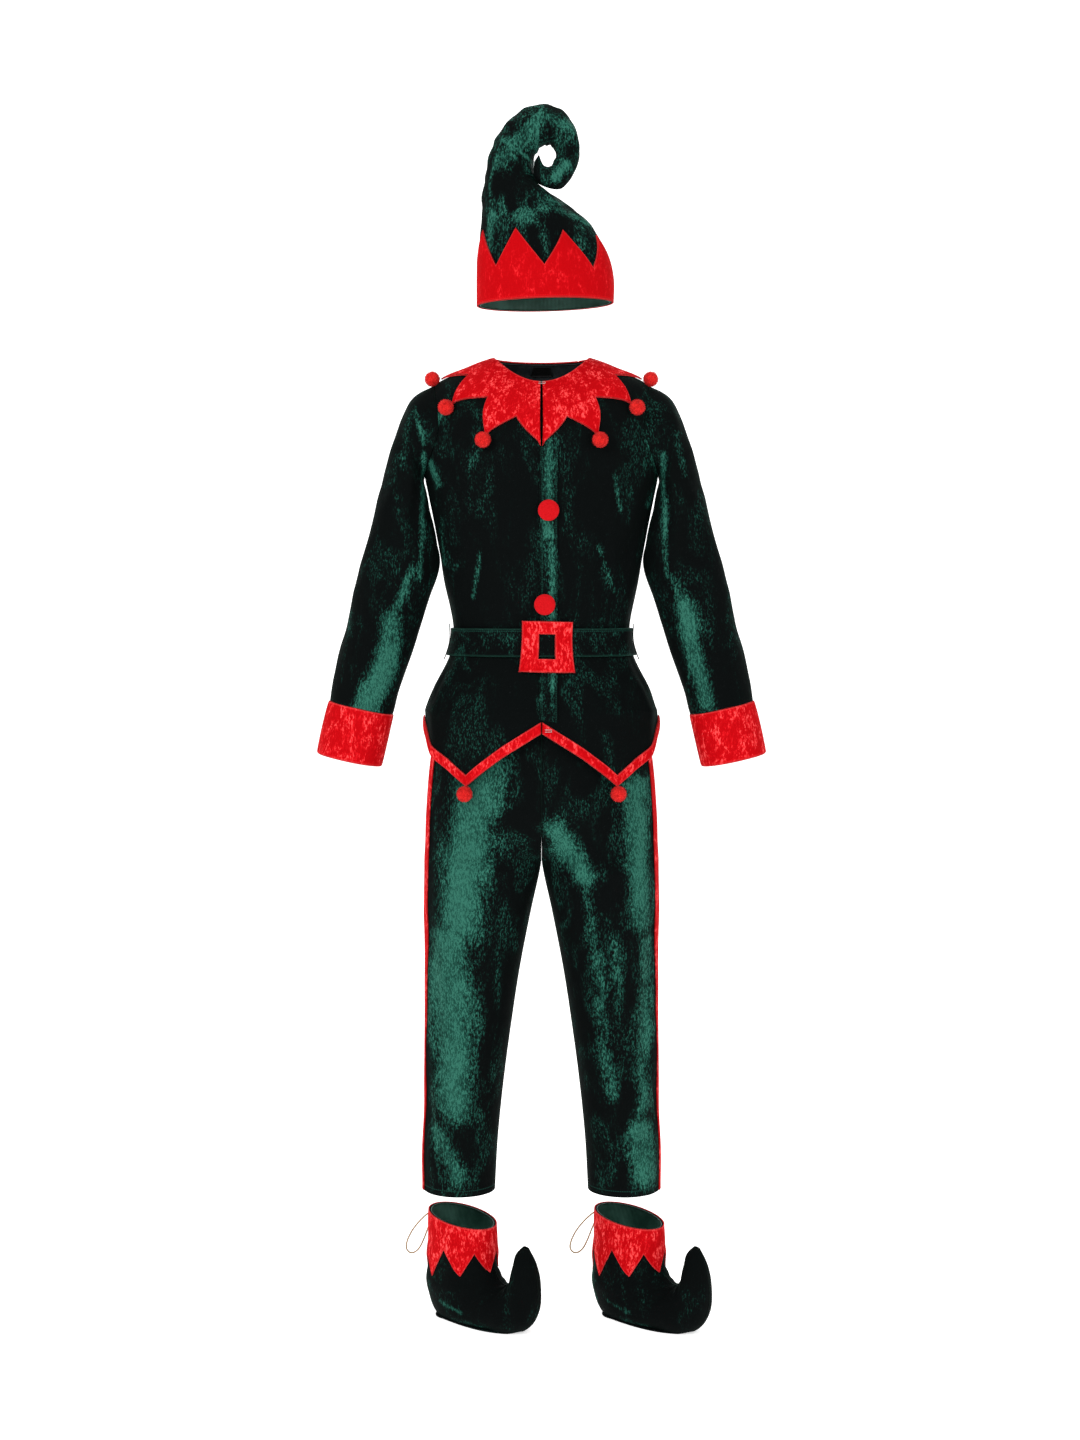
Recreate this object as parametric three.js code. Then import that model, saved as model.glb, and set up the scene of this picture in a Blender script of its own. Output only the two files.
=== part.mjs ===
// An elf costume as it hangs on its wearer: curled hat, belted jacket, trousers and two shoe covers.
// Millimetres, +Z up, the front faces -Y. The origin is the middle of the neck opening, level with
// the shoulder seams' neck ends. Cloth is a thin wall worked out from tables of sections.
import * as THREE from "three";

// Driving sizes
const clothWall = 2;
const trimWall = 1.6;
const liningWall = 1;
const seamGap = 0.4;
const layGap = 1;
const pompomRadius = 14;
const pompomTuft = 2.2;

// Materials
const finish = (color, roughness, metalness = 0) =>
  new THREE.MeshStandardMaterial({ color, roughness, metalness });
const greenVelvet = finish(0x0b2b20, 0.7);
const redVelvet = finish(0xc9141a, 0.75);
const greenLining = finish(0x2c5345, 0.5);
const darkLining = finish(0x1c2421, 0.6);
const redPompom = finish(0xe01c1c, 0.95);
const redFelt = finish(0xd40f14, 0.9);
const blackLabel = finish(0x101010, 0.6);
const beigeElastic = finish(0xc9b48a, 0.7);

// Number helpers
const radians = (degrees) => (degrees * Math.PI) / 180;
const sine = (degrees) => Math.sin(radians(degrees));
const cosine = (degrees) => Math.cos(radians(degrees));
const mix = (a, b, share) => a + (b - a) * share;
const clamp = (x, low, high) => Math.min(high, Math.max(low, x));
const vector = (x, y, z) => new THREE.Vector3(x, y, z);

// A smooth curve through four neighbouring values, with share from 0 to 1 between b and c.
function smoothBetween(a, b, c, d, share) {
  const s = share;
  return 0.5 * (2 * b + (c - a) * s + (2 * a - 5 * b + 4 * c - d) * s * s + (3 * b - a - 3 * c + d) * s ** 3);
}

// The value of a table at a row number with a fraction, by smooth curves through its rows.
function rowAt(table, row) {
  const last = table.length - 1;
  const base = clamp(Math.floor(row), 0, last - 1);
  const share = row - base;
  const near = (step) => table[clamp(base + step, 0, last)];
  const made = {};
  for (const key of Object.keys(table[0]))
    made[key] = smoothBetween(near(-1)[key], near(0)[key], near(1)[key], near(2)[key], share);
  return made;
}

// The point of a family of rings at a ring number with a fraction, smooth from ring to ring.
function throughRings(ring, count, row) {
  const base = clamp(Math.floor(row), 0, count - 2);
  const share = row - base;
  const near = [-1, 0, 1, 2].map((step) => ring(clamp(base + step, 0, count - 1)));
  const along = (key) => smoothBetween(...near.map((point) => point[key]), share);
  return vector(along("x"), along("y"), along("z"));
}

// Soft creases: each row is a trough from (a0, b0) to (a1, b1) on a surface, with a depth in mm.
function creaseDepth(creases, a, b) {
  let depth = 0;
  for (const c of creases) {
    const da = (c.a1 - c.a0) / c.wideA, db = (c.b1 - c.b0) / c.wideB;
    const turnOff = ((((a - c.a0 + 180) % 360) + 360) % 360) - 180;
    const pa = turnOff / c.wideA, pb = (b - c.b0) / c.wideB;
    const along = clamp((pa * da + pb * db) / (da * da + db * db), 0, 1);
    const off = (pa - along * da) ** 2 + (pb - along * db) ** 2;
    depth += c.deep * Math.exp(-off) * Math.sin(Math.PI * mix(0.12, 0.88, along));
  }
  return depth;
}

// A surface is a point for two parameters, with its outward normal from the slopes there.
function surfaceOf(pointAt, turn) {
  const stepA = 0.5, stepB = 0.01;
  return (a, b, lift = 0) => {
    const slopeA = pointAt(a + stepA, b).sub(pointAt(a - stepA, b));
    const slopeB = pointAt(a, b + stepB).sub(pointAt(a, b - stepB));
    const normal = slopeA.cross(slopeB).normalize().multiplyScalar(turn);
    return pointAt(a, b).addScaledVector(normal, lift);
  };
}

// A closed mesh from points and triangles, with its faces turned outwards.
function solid(name, points, faces, material) {
  let volume = 0;
  for (const [i, j, k] of faces) volume += points[i].dot(points[j].clone().cross(points[k]));
  const turned = volume < 0 ? faces.map(([i, j, k]) => [i, k, j]) : faces;
  const geometry = new THREE.BufferGeometry().setFromPoints(points);
  geometry.setIndex(turned.flat());
  geometry.computeVertexNormals();
  const mesh = new THREE.Mesh(geometry, material);
  mesh.name = name;
  return mesh;
}

// A wall over a piece of a surface: place(u, v) gives the surface's two parameters, and the wall
// fills the space between two distances from it. side -1 mirrors the piece to the other half.
function wall(name, material, surface, place, grid, inner, outer, side = 1) {
  const { rows, columns, closed } = grid;
  const across = closed ? columns : columns + 1;
  const points = [];
  for (const lift of [outer, inner])
    for (let i = 0; i <= rows; i++)
      for (let j = 0; j < across; j++) {
        const [a, b] = place(i / rows, j / columns);
        const point = surface(a, b, lift);
        point.x *= side;
        points.push(point);
      }
  const layer = (rows + 1) * across;
  const at = (i, j) => i * across + (j % across);
  const faces = [];
  const quad = (a, b, c, d) => faces.push([a, b, c], [a, c, d]);
  for (let i = 0; i < rows; i++)
    for (let j = 0; j < columns; j++) {
      quad(at(i, j), at(i + 1, j), at(i + 1, j + 1), at(i, j + 1));
      quad(layer + at(i, j), layer + at(i, j + 1), layer + at(i + 1, j + 1), layer + at(i + 1, j));
    }
  for (let j = 0; j < columns; j++) {
    quad(at(0, j), at(0, j + 1), layer + at(0, j + 1), layer + at(0, j));
    quad(at(rows, j + 1), at(rows, j), layer + at(rows, j), layer + at(rows, j + 1));
  }
  if (!closed)
    for (let i = 0; i < rows; i++) {
      quad(at(i + 1, 0), at(i, 0), layer + at(i, 0), layer + at(i + 1, 0));
      quad(at(i, columns), at(i + 1, columns), layer + at(i + 1, columns), layer + at(i, columns));
    }
  return solid(name, points, faces, material);
}

// The height of a zigzag at a turn of so many degrees, from a list of turn and height corners.
function zigzag(corners, turn) {
  const next = Math.max(1, corners.findIndex((corner) => corner.turn >= turn));
  const from = corners[next - 1], to = corners[next];
  return mix(from.reach, to.reach, (turn - from.turn) / (to.turn - from.turn));
}

const costume = new THREE.Group();

// JACKET
// Torso sections from the neck to the hem: heights at front, side and back, and reach to each way.
const torsoTable = [
  { frontZ: -47, sideZ: 0, backZ: 0, half: 82, front: 74, back: 60 },
  { frontZ: -90, sideZ: -17, backZ: -26, half: 126, front: 99, back: 92 },
  { frontZ: -130, sideZ: -47, backZ: -75, half: 188, front: 114, back: 108 },
  { frontZ: -165, sideZ: -118, backZ: -135, half: 212, front: 120, back: 110 },
  { frontZ: -208, sideZ: -200, backZ: -205, half: 205, front: 121, back: 106 },
  { frontZ: -300, sideZ: -300, backZ: -300, half: 184, front: 117, back: 98 },
  { frontZ: -385, sideZ: -385, backZ: -385, half: 170, front: 107, back: 90 },
  { frontZ: -465, sideZ: -465, backZ: -465, half: 154, front: 97, back: 84 },
  { frontZ: -515, sideZ: -515, backZ: -515, half: 160, front: 101, back: 91 },
  { frontZ: -570, sideZ: -570, backZ: -570, half: 187, front: 112, back: 107 },
  { frontZ: -612, sideZ: -612, backZ: -612, half: 203, front: 120, back: 118 },
];
const armhole = { middleRow: 3, halfRows: 1.04, turn: 31 };
// The lower edge of the jacket, as heights at turns from the centre front: two points a side.
const hemCorners = [
  { turn: 0, reach: -646 }, { turn: 20, reach: -690 }, { turn: 39, reach: -738 },
  { turn: 52, reach: -712 }, { turn: 68, reach: -688 }, { turn: 90, reach: -640 },
  { turn: 112, reach: -688 }, { turn: 128, reach: -712 }, { turn: 141, reach: -738 },
  { turn: 160, reach: -700 }, { turn: 180, reach: -665 },
];
const jacketCreases = [
  { a0: 62, b0: 2.3, a1: 47, b1: 4.4, wideA: 5, wideB: 0.4, deep: -5 },
  { a0: 70, b0: 4.6, a1: 50, b1: 6.2, wideA: 6, wideB: 0.35, deep: -4 },
  { a0: 35, b0: 4.9, a1: 44, b1: 6.4, wideA: 4, wideB: 0.5, deep: -3 },
  { a0: 118, b0: 4.2, a1: 140, b1: 6.3, wideA: 8, wideB: 0.4, deep: -4 },
  { a0: 24, b0: 8.2, a1: 33, b1: 11, wideA: 6, wideB: 0.6, deep: 4 },
  { a0: 62, b0: 8, a1: 66, b1: 11, wideA: 7, wideB: 0.6, deep: 4 },
  { a0: 150, b0: 8, a1: 146, b1: 11, wideA: 8, wideB: 0.6, deep: 4 },
];
const hemRow = 11;

// The turn from the centre front folded onto 0 to 180 degrees, the same on both sides.
const folded = (turn) => Math.abs(((turn + 180) % 360 + 360) % 360 - 180);

function torsoPoint(turn, row) {
  const last = torsoTable.length - 1;
  const section = rowAt(torsoTable, Math.min(row, last));
  const forward = Math.max(cosine(turn), 0), back = Math.max(-cosine(turn), 0);
  let z = section.sideZ + (section.frontZ - section.sideZ) * forward ** 2;
  z += (section.backZ - section.sideZ) * back ** 2;
  if (row > last) z = mix(z, zigzag(hemCorners, clamp(folded(turn), 0, 180)), row - last);
  const dent = creaseDepth(jacketCreases, folded(turn), row);
  const wide = section.half + dent, deep = (cosine(turn) > 0 ? section.front : section.back) + dent;
  return vector(wide * sine(turn), -deep * cosine(turn), z);
}
const torso = surfaceOf(torsoPoint, -1);

// How far the armhole reaches from the side seam at a row, in degrees.
function armholeTurn(row) {
  const share = (row - armhole.middleRow) / armhole.halfRows;
  return Math.abs(share) < 1 ? armhole.turn * Math.sqrt(1 - share * share) : 0;
}

// Panel rows are closer together where the armhole begins and ends.
const panelRows = [0, 0.5, 1, 1.5, 1.96, 2.06, 2.3, 2.65, 3, 3.35, 3.7, 3.94, 4.04, 4.7, 5.4, 6.1,
  6.8, 7.5, 8.2, 9, 10, 11];
const seamTurn = 0.14;
// Panel columns stand at the turns of the hem's corners, and some between them.
const frontTurns = [0, 10, 20, 30, 39, 52, 68, 79, 90];
const backTurns = [90, 101, 112, 128, 141, 160, 180, 200, 219, 232, 248, 259, 270];
// The share of a list's whole turn that lies at v, where v runs evenly from value to value.
function turnShare(turns, v) {
  const step = v * (turns.length - 1);
  const from = clamp(Math.floor(step), 0, turns.length - 2);
  return (mix(turns[from], turns[from + 1], step - from) - turns[0]) / (turns.at(-1) - turns[0]);
}
const sidePlace = (low, high, turns) => (u, v) => {
  const row = panelRows[Math.round(u * (panelRows.length - 1))];
  return [mix(low(row), high(row), turnShare(turns, v)), row];
};
const frontEdge = (row) => 90 - seamTurn - armholeTurn(row);
const backEdge = (row) => 90 + seamTurn + armholeTurn(row);
for (const [name, side] of [["left", -1], ["right", 1]])
  costume.add(wall(`jacket_front_${name}`, greenVelvet, torso,
    sidePlace(() => 0.16, frontEdge, frontTurns),
    { rows: panelRows.length - 1, columns: frontTurns.length - 1 }, -clothWall, 0, side));
costume.add(wall("jacket_back", greenVelvet, torso,
  sidePlace(backEdge, (row) => 360 - backEdge(row), backTurns),
  { rows: panelRows.length - 1, columns: backTurns.length - 1 }, -clothWall, 0));

// SLEEVES
// Rings below the armhole: the outer and the inner point in the front view, and the depth.
const sleeveTable = [
  { outX: 228, outZ: -70, inX: 206, inZ: -215, deep: 62, midY: 0 },
  { outX: 252, outZ: -124, inX: 201, inZ: -232, deep: 63, midY: -2 },
  { outX: 272, outZ: -192, inX: 196, inZ: -256, deep: 61, midY: -5 },
  { outX: 293, outZ: -272, inX: 186, inZ: -302, deep: 59, midY: -8 },
  { outX: 314, outZ: -352, inX: 178, inZ: -366, deep: 58, midY: -12 },
  { outX: 331, outZ: -425, inX: 205, inZ: -445, deep: 57, midY: -16 },
  { outX: 351, outZ: -510, inX: 232, inZ: -532, deep: 55, midY: -22 },
  { outX: 367, outZ: -594, inX: 258, inZ: -618, deep: 52, midY: -28 },
];
const cuffTable = [
  { outX: 367, outZ: -594.3, inX: 258, inZ: -618.3, deep: 52.4, midY: -28 },
  { outX: 388, outZ: -683, inX: 279, inZ: -707, deep: 53, midY: -33 },
];
const sleeveCreases = [
  { a0: 60, b0: 3.2, a1: 95, b1: 6.2, wideA: 14, wideB: 0.5, deep: -5 },
  { a0: 130, b0: 1.2, a1: 110, b1: 4.6, wideA: 12, wideB: 0.5, deep: -5 },
  { a0: 165, b0: 4.6, a1: 120, b1: 5.7, wideA: 18, wideB: 0.3, deep: -4 },
  { a0: 60, b0: 6.1, a1: 130, b1: 7.9, wideA: 16, wideB: 0.4, deep: 3 },
  { a0: 290, b0: 3, a1: 250, b1: 5.4, wideA: 16, wideB: 0.5, deep: -5 },
  { a0: 230, b0: 5, a1: 290, b1: 6.2, wideA: 18, wideB: 0.4, deep: -4 },
];
const armholeShare = 0.993, armholeLift = 0.6;

// A ring from a table row: turn 0 is its outer point, 90 its front and 180 its inner point.
function ringPoint(section, turn, dent = 0) {
  const middleX = (section.outX + section.inX) / 2, middleZ = (section.outZ + section.inZ) / 2;
  const grown = 1 + (2 * dent) / Math.hypot(section.outX - section.inX, section.outZ - section.inZ);
  return vector(
    middleX + ((section.outX - section.inX) / 2) * cosine(turn) * grown,
    section.midY - (section.deep + dent) * sine(turn),
    middleZ + ((section.outZ - section.inZ) / 2) * cosine(turn) * grown,
  );
}

function armholePoint(turn) {
  const row = armhole.middleRow - armhole.halfRows * armholeShare * cosine(turn);
  return torso(90 - armhole.turn * armholeShare * sine(turn), row, armholeLift);
}

function sleevePoint(turn, row) {
  const whole = ((turn % 360) + 360) % 360;
  const dent = creaseDepth(sleeveCreases, whole, row);
  const ring = (k) => (k === 0 ? armholePoint(turn) : ringPoint(sleeveTable[k - 1], turn, dent));
  return throughRings(ring, sleeveTable.length + 1, row);
}
const sleeve = surfaceOf(sleevePoint, 1);
const cuff = surfaceOf((turn, row) => ringPoint(rowAt(cuffTable, row), turn), 1);
const sleeveRows = 11, sleeveColumns = 12, sleeveStart = 0.004;
for (const [name, side] of [["left", -1], ["right", 1]]) {
  costume.add(wall(`sleeve_${name}`, greenVelvet, sleeve,
    (u, v) => [360 * v, mix(sleeveStart, sleeveTable.length, u)],
    { rows: sleeveRows, columns: sleeveColumns, closed: true }, -clothWall, 0, side));
  costume.add(wall(`cuff_${name}`, redVelvet, cuff, (u, v) => [360 * v, mix(0.012, 1, u)],
    { rows: 2, columns: sleeveColumns, closed: true }, -clothWall, 0.6, side));
}

// COLLAR
// The jester collar's star edge, as rows of the torso table at turns from the centre front.
const collarCorners = [
  { turn: 0, reach: 2.84 }, { turn: 15, reach: 1.6 }, { turn: 27, reach: 2.72 },
  { turn: 38, reach: 1.36 }, { turn: 52, reach: 2.14 }, { turn: 67, reach: 1.18 },
  { turn: 84, reach: 1.74 }, { turn: 101, reach: 1.15 }, { turn: 120, reach: 1.9 },
  { turn: 135, reach: 1.3 }, { turn: 150, reach: 2.25 }, { turn: 165, reach: 1.4 },
  { turn: 180, reach: 2.45 },
];
// The slit's half width in degrees at the neck and at the point, and how the edges between corners bend.
const collarSlitTop = 1.5, collarSlit = 0.5;
const collarEdgeCurve = 0.78;
const collarPerCorner = 2, collarLift = 2.4;
const collarColumns = 2 * (collarCorners.length - 1) * collarPerCorner;
function collarPlace(u, v) {
  const step = v * collarColumns;
  const half = collarColumns / 2;
  const inHalf = (step <= half ? step : collarColumns - step) / collarPerCorner;
  const corner = clamp(Math.floor(inHalf), 0, collarCorners.length - 2);
  const from = collarCorners[corner], to = collarCorners[corner + 1];
  const slit = mix(collarSlitTop, collarSlit, u);
  const turn = Math.max(mix(from.turn, to.turn, inHalf - corner), slit);
  const [tip, valley] = corner % 2 ? [to, from] : [from, to];
  const past = corner % 2 ? corner + 1 - inHalf : inHalf - corner;
  const reach = mix(tip.reach, valley.reach, past ** collarEdgeCurve);
  return [step <= half ? turn : 360 - turn, mix(0.01, reach, u)];
}
costume.add(wall("collar", redVelvet, torso, collarPlace, { rows: 7, columns: collarColumns },
  collarLift, collarLift + trimWall));

// POMPOMS
// A ball whose locks stand out from a smaller core: the corners of an icosahedron are its tufts.
function pompom(name, centre) {
  const ball = new THREE.IcosahedronGeometry(1, 1);
  const tufts = new THREE.IcosahedronGeometry(1, 0).getAttribute("position");
  const isTuft = (point) => {
    for (let i = 0; i < tufts.count; i++)
      if (point.distanceTo(vector(tufts.getX(i), tufts.getY(i), tufts.getZ(i))) < 0.01) return true;
    return false;
  };
  const place = ball.getAttribute("position");
  for (let i = 0; i < place.count; i++) {
    const point = vector(place.getX(i), place.getY(i), place.getZ(i)).normalize();
    point.multiplyScalar(isTuft(point) ? pompomRadius : pompomRadius - pompomTuft / 2);
    place.setXYZ(i, ...point.toArray());
  }
  ball.computeVertexNormals();
  const mesh = new THREE.Mesh(ball, redPompom);
  mesh.name = name;
  mesh.position.copy(centre);
  return mesh;
}
// Each ball rests on the cloth just past the point that holds it, at its own height over the cloth.
const pompomPast = 0.17;
const collarPompoms = [
  { corner: 2, rest: 13.8 }, { corner: 4, rest: 13.6 }, { corner: 6, rest: 11.6 },
  { corner: 8, rest: 12.3 }, { corner: 10, rest: 13.3 }, { corner: 12, rest: 13.3 },
];
collarPompoms.forEach(({ corner, rest }, i) => {
  const { turn, reach } = collarCorners[corner];
  const place = torso(turn, reach + pompomPast, rest);
  const sides = turn < 180 ? [["left", -1], ["right", 1]] : [["middle", 1]];
  for (const [name, side] of sides) {
    const centre = vector(place.x * side, place.y, place.z);
    costume.add(pompom(`pompom_collar_${i + 1}_${name}`, centre));
  }
});
const hemPompomOut = 6.5, hemPompomDrop = 11.8;
for (const [where, turn] of [["front", 39], ["back", 141]]) {
  const place = torso(turn, hemRow, hemPompomOut);
  for (const [name, side] of [["left", -1], ["right", 1]]) {
    const centre = vector(place.x * side, place.y, place.z - hemPompomDrop);
    costume.add(pompom(`pompom_hem_${where}_${name}`, centre));
  }
}

// FRONT BAND, HEM TRIM, BELT, BUCKLE AND BUTTONS
// The row of the torso at a height below the armholes, found by halving.
function rowAtHeight(turn, z) {
  let low = 4, high = hemRow;
  for (let i = 0; i < 30; i++) {
    const middle = (low + high) / 2;
    if (torsoPoint(turn, middle).z > z) low = middle;
    else high = middle;
  }
  return (low + high) / 2;
}
const bandWide = 27, bandLap = 2, bandTop = 2.9, bandBottom = 10.3, bandLift = 1.5;
const bandPlace = (u, v) => {
  const row = mix(bandTop, bandBottom, u);
  const half = rowAt(torsoTable, Math.min(row, 10)).half;
  return [(mix(-bandLap, bandWide, v) / half) * (180 / Math.PI), row];
};
costume.add(wall("button_band", greenVelvet, torso, bandPlace, { rows: 16, columns: 2 },
  bandLift, bandLift + trimWall));

const trimWide = 17;
function trimPlace(turns) {
  const gap = 0.4, low = turns[0] + gap, high = turns.at(-1) - gap;
  return (u, v) => {
    const turn = mix(low, high, turnShare(turns, v));
    const edge = zigzag(hemCorners, folded(turn));
    return [turn, rowAtHeight(turn, mix(edge + trimWide * 1.15, edge + 0.5, u))];
  };
}
for (const [name, side] of [["left", -1], ["right", 1]])
  costume.add(wall(`hem_trim_front_${name}`, redVelvet, torso, trimPlace(frontTurns),
    { rows: 1, columns: 2 * frontTurns.length - 2 }, layGap, layGap + trimWall, side));
costume.add(wall("hem_trim_back", redVelvet, torso, trimPlace(backTurns),
  { rows: 1, columns: 2 * backTurns.length - 2 }, layGap, layGap + trimWall));

const beltTop = -469, beltBottom = -517;
const beltLift = bandLift + trimWall + 0.8;
const beltPlace = (u, v) => [360 * v, rowAtHeight(360 * v, mix(beltTop, beltBottom, u))];
costume.add(wall("belt", greenVelvet, torso, beltPlace, { rows: 2, columns: 36, closed: true },
  beltLift, beltLift + clothWall));
const loopHalfTurn = 1.6, loopLift = beltLift + clothWall + layGap;
for (const [name, side] of [["left", -1], ["right", 1]])
  costume.add(wall(`belt_loop_${name}`, greenVelvet, torso,
    (u, v) => [90 + loopHalfTurn * (2 * v - 1), rowAtHeight(90, mix(beltTop + 9, beltBottom - 9, u))],
    { rows: 3, columns: 1 }, loopLift, loopLift + 1.4, side));

// The buckle is a frame of stiff felt, bent with the belt: a ring of four sides and its window.
const buckle = { x: 9, z: -500, wide: 84, high: 88, holeWide: 28, holeHigh: 44, thick: 3.4 };
function bucklePlace(u, v) {
  const corners = [[-1, -1], [1, -1], [1, 1], [-1, 1]];
  const side = Math.floor(v * 4) % 4, share = v * 4 - Math.floor(v * 4);
  const [fromX, fromZ] = corners[side], [toX, toZ] = corners[(side + 1) % 4];
  const x = buckle.x + mix(fromX, toX, share) * mix(buckle.wide, buckle.holeWide, u) / 2;
  const z = buckle.z + mix(fromZ, toZ, share) * mix(buckle.high, buckle.holeHigh, u) / 2;
  const turn = (Math.asin(x / 158) * 180) / Math.PI;
  return [turn, rowAtHeight(turn, z)];
}
const buckleLift = beltLift + clothWall + 1.3;
costume.add(wall("belt_buckle", redVelvet, torso, bucklePlace, { rows: 2, columns: 24, closed: true },
  buckleLift, buckleLift + buckle.thick));

// Covered buttons are domes that face the way the cloth faces there.
const buttonRadius = 18, buttonThick = 6;
for (const [name, x, z] of [["upper", 11, -268], ["lower", 6, -427]]) {
  const dome = [[0, 0], [14, 0], [18, 1.6], [18, 3], [15, 5], [9, 5.8], [0, 6]];
  const scale = ([r, h]) => new THREE.Vector2((r * buttonRadius) / 18, (h * buttonThick) / 6);
  const mesh = new THREE.Mesh(new THREE.LatheGeometry(dome.map(scale), 16), redFelt);
  const turn = (Math.asin(x / 180) * 180) / Math.PI;
  const row = rowAtHeight(turn, z);
  const foot = torso(turn, row, bandLift + trimWall + 0.7);
  const outward = torso(turn, row, 1).sub(torso(turn, row, 0)).normalize();
  mesh.name = `button_${name}`;
  mesh.position.copy(foot);
  mesh.quaternion.setFromUnitVectors(vector(0, 1, 0), outward);
  costume.add(mesh);
}

// The facing shows inside the back of the neck, with a plain label on it.
costume.add(wall("back_neck_facing", darkLining, torso,
  (u, v) => [mix(90 + seamTurn, 270 - seamTurn, turnShare(backTurns, v)), 1.5 * u],
  { rows: 3, columns: backTurns.length - 1 }, -clothWall - seamGap - liningWall, -clothWall - seamGap));
const labelLift = clothWall + seamGap + liningWall + 2;
costume.add(wall("neck_label", blackLabel, torso,
  (u, v) => [mix(170, 190, v), mix(0.12, 0.72, u)], { rows: 2, columns: 3 },
  -labelLift - 0.8, -labelLift));

// TROUSERS
// Sections from the waist to the hem: outer and inner edges in the front view, reach to front and
// back, and how much the section is a leg of its own, from 0 above the fork to 1 below it.
const trouserTable = [
  { z: -448, out: 144, in: 0, front: 84, back: 74, leg: 0 },
  { z: -492, out: 147, in: 0, front: 88, back: 78, leg: 0 },
  { z: -600, out: 176, in: 0, front: 100, back: 98, leg: 0 },
  { z: -700, out: 193, in: 0, front: 105, back: 107, leg: 0 },
  { z: -790, out: 200, in: 0, front: 103, back: 110, leg: 0.02 },
  { z: -850, out: 202, in: 0, front: 98, back: 106, leg: 0.4 },
  { z: -888, out: 203, in: 2, front: 93, back: 100, leg: 1 },
  { z: -966, out: 204, in: 19, front: 87, back: 92, leg: 1 },
  { z: -1064, out: 202, in: 38, front: 80, back: 84, leg: 1 },
  { z: -1162, out: 202, in: 53, front: 73, back: 77, leg: 1 },
  { z: -1260, out: 204, in: 66, front: 67, back: 70, leg: 1 },
  { z: -1358, out: 206, in: 76, front: 62, back: 64, leg: 1 },
  { z: -1448, out: 206, in: 81, front: 59, back: 59, leg: 1 },
];
const trouserCreases = [
  { a0: 60, b0: 3.6, a1: 95, b1: 8.6, wideA: 12, wideB: 0.6, deep: 4 },
  { a0: 165, b0: 5.6, a1: 95, b1: 7.2, wideA: 14, wideB: 0.35, deep: -4 },
  { a0: 30, b0: 7.4, a1: 60, b1: 10.2, wideA: 10, wideB: 0.5, deep: -4 },
  { a0: 25, b0: 10.2, a1: 75, b1: 11.6, wideA: 14, wideB: 0.3, deep: -4 },
  { a0: 120, b0: 9.2, a1: 75, b1: 10.9, wideA: 14, wideB: 0.35, deep: 3 },
  { a0: -150, b0: 5.6, a1: -80, b1: 7.2, wideA: 14, wideB: 0.35, deep: -5 },
  { a0: -40, b0: 8.4, a1: -110, b1: 9.8, wideA: 16, wideB: 0.35, deep: -5 },
];
const forkClear = 0.25;
function trouserPoint(turn, row) {
  const section = rowAt(trouserTable, row);
  const leg = clamp(section.leg, 0, 1);
  const dent = creaseDepth(trouserCreases, turn, row);
  const deep = (turn > 0 ? section.front : section.back) + dent;
  const middle = (section.out + section.in) / 2, reach = (section.out - section.in) / 2;
  const legX = middle + (reach + dent * Math.max(0, cosine(turn / 2))) * cosine(turn);
  const x = mix(section.out * cosine(turn / 2), legX, leg);
  const y = mix(-deep * sine(turn / 2), -deep * sine(turn), leg);
  return vector(Math.max(x, 0) + forkClear, y, section.z);
}
const trouser = surfaceOf(trouserPoint, 1);
const lastTrouserRow = trouserTable.length - 1;
// The outer seam lies forward at the hip and comes round to the side at the hem.
const outerSeam = (row) => mix(25, 5, clamp((row - 2) / (lastTrouserRow - 3), 0, 1));
const trouserGrid = { rows: 17, columns: 6 };
const waistbandEnd = 0.9;
for (const [name, side] of [["left", -1], ["right", 1]]) {
  const place = (far) => (u, v) => {
    const row = mix(waistbandEnd + 0.01, lastTrouserRow, u);
    const seam = outerSeam(row) + Math.sign(far) * 0.25;
    return [mix(seam, far, v), row];
  };
  costume.add(wall(`trouser_front_${name}`, greenVelvet, trouser, place(179.6), trouserGrid,
    -clothWall, 0, side));
  costume.add(wall(`trouser_back_${name}`, greenVelvet, trouser, place(-179.6), trouserGrid,
    -clothWall, 0, side));
  const stripeHalf = 12.5;
  const stripePlace = (u, v) => {
    const row = mix(1.6, lastTrouserRow - 0.02, u);
    const section = rowAt(trouserTable, row);
    const radius = mix(section.front * 0.62, section.front, clamp(section.leg, 0, 1));
    const halfTurn = ((stripeHalf / radius) * 180) / Math.PI;
    return [outerSeam(row) + halfTurn * (2 * v - 1), row];
  };
  costume.add(wall(`side_stripe_${name}`, redVelvet, trouser, stripePlace, { rows: 15, columns: 2 },
    layGap, layGap + 1.2, side));
}
const waistSurface = (turn, row, lift) => {
  const point = trouser(180 - 2 * folded(turn), row, lift);
  return vector(turn > 180 ? -point.x : point.x, point.y, point.z);
};
costume.add(wall("waistband", greenVelvet, waistSurface, (u, v) => [5 + 360 * v, waistbandEnd * u],
  { rows: 1, columns: 36, closed: true }, -clothWall, 0));

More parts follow.
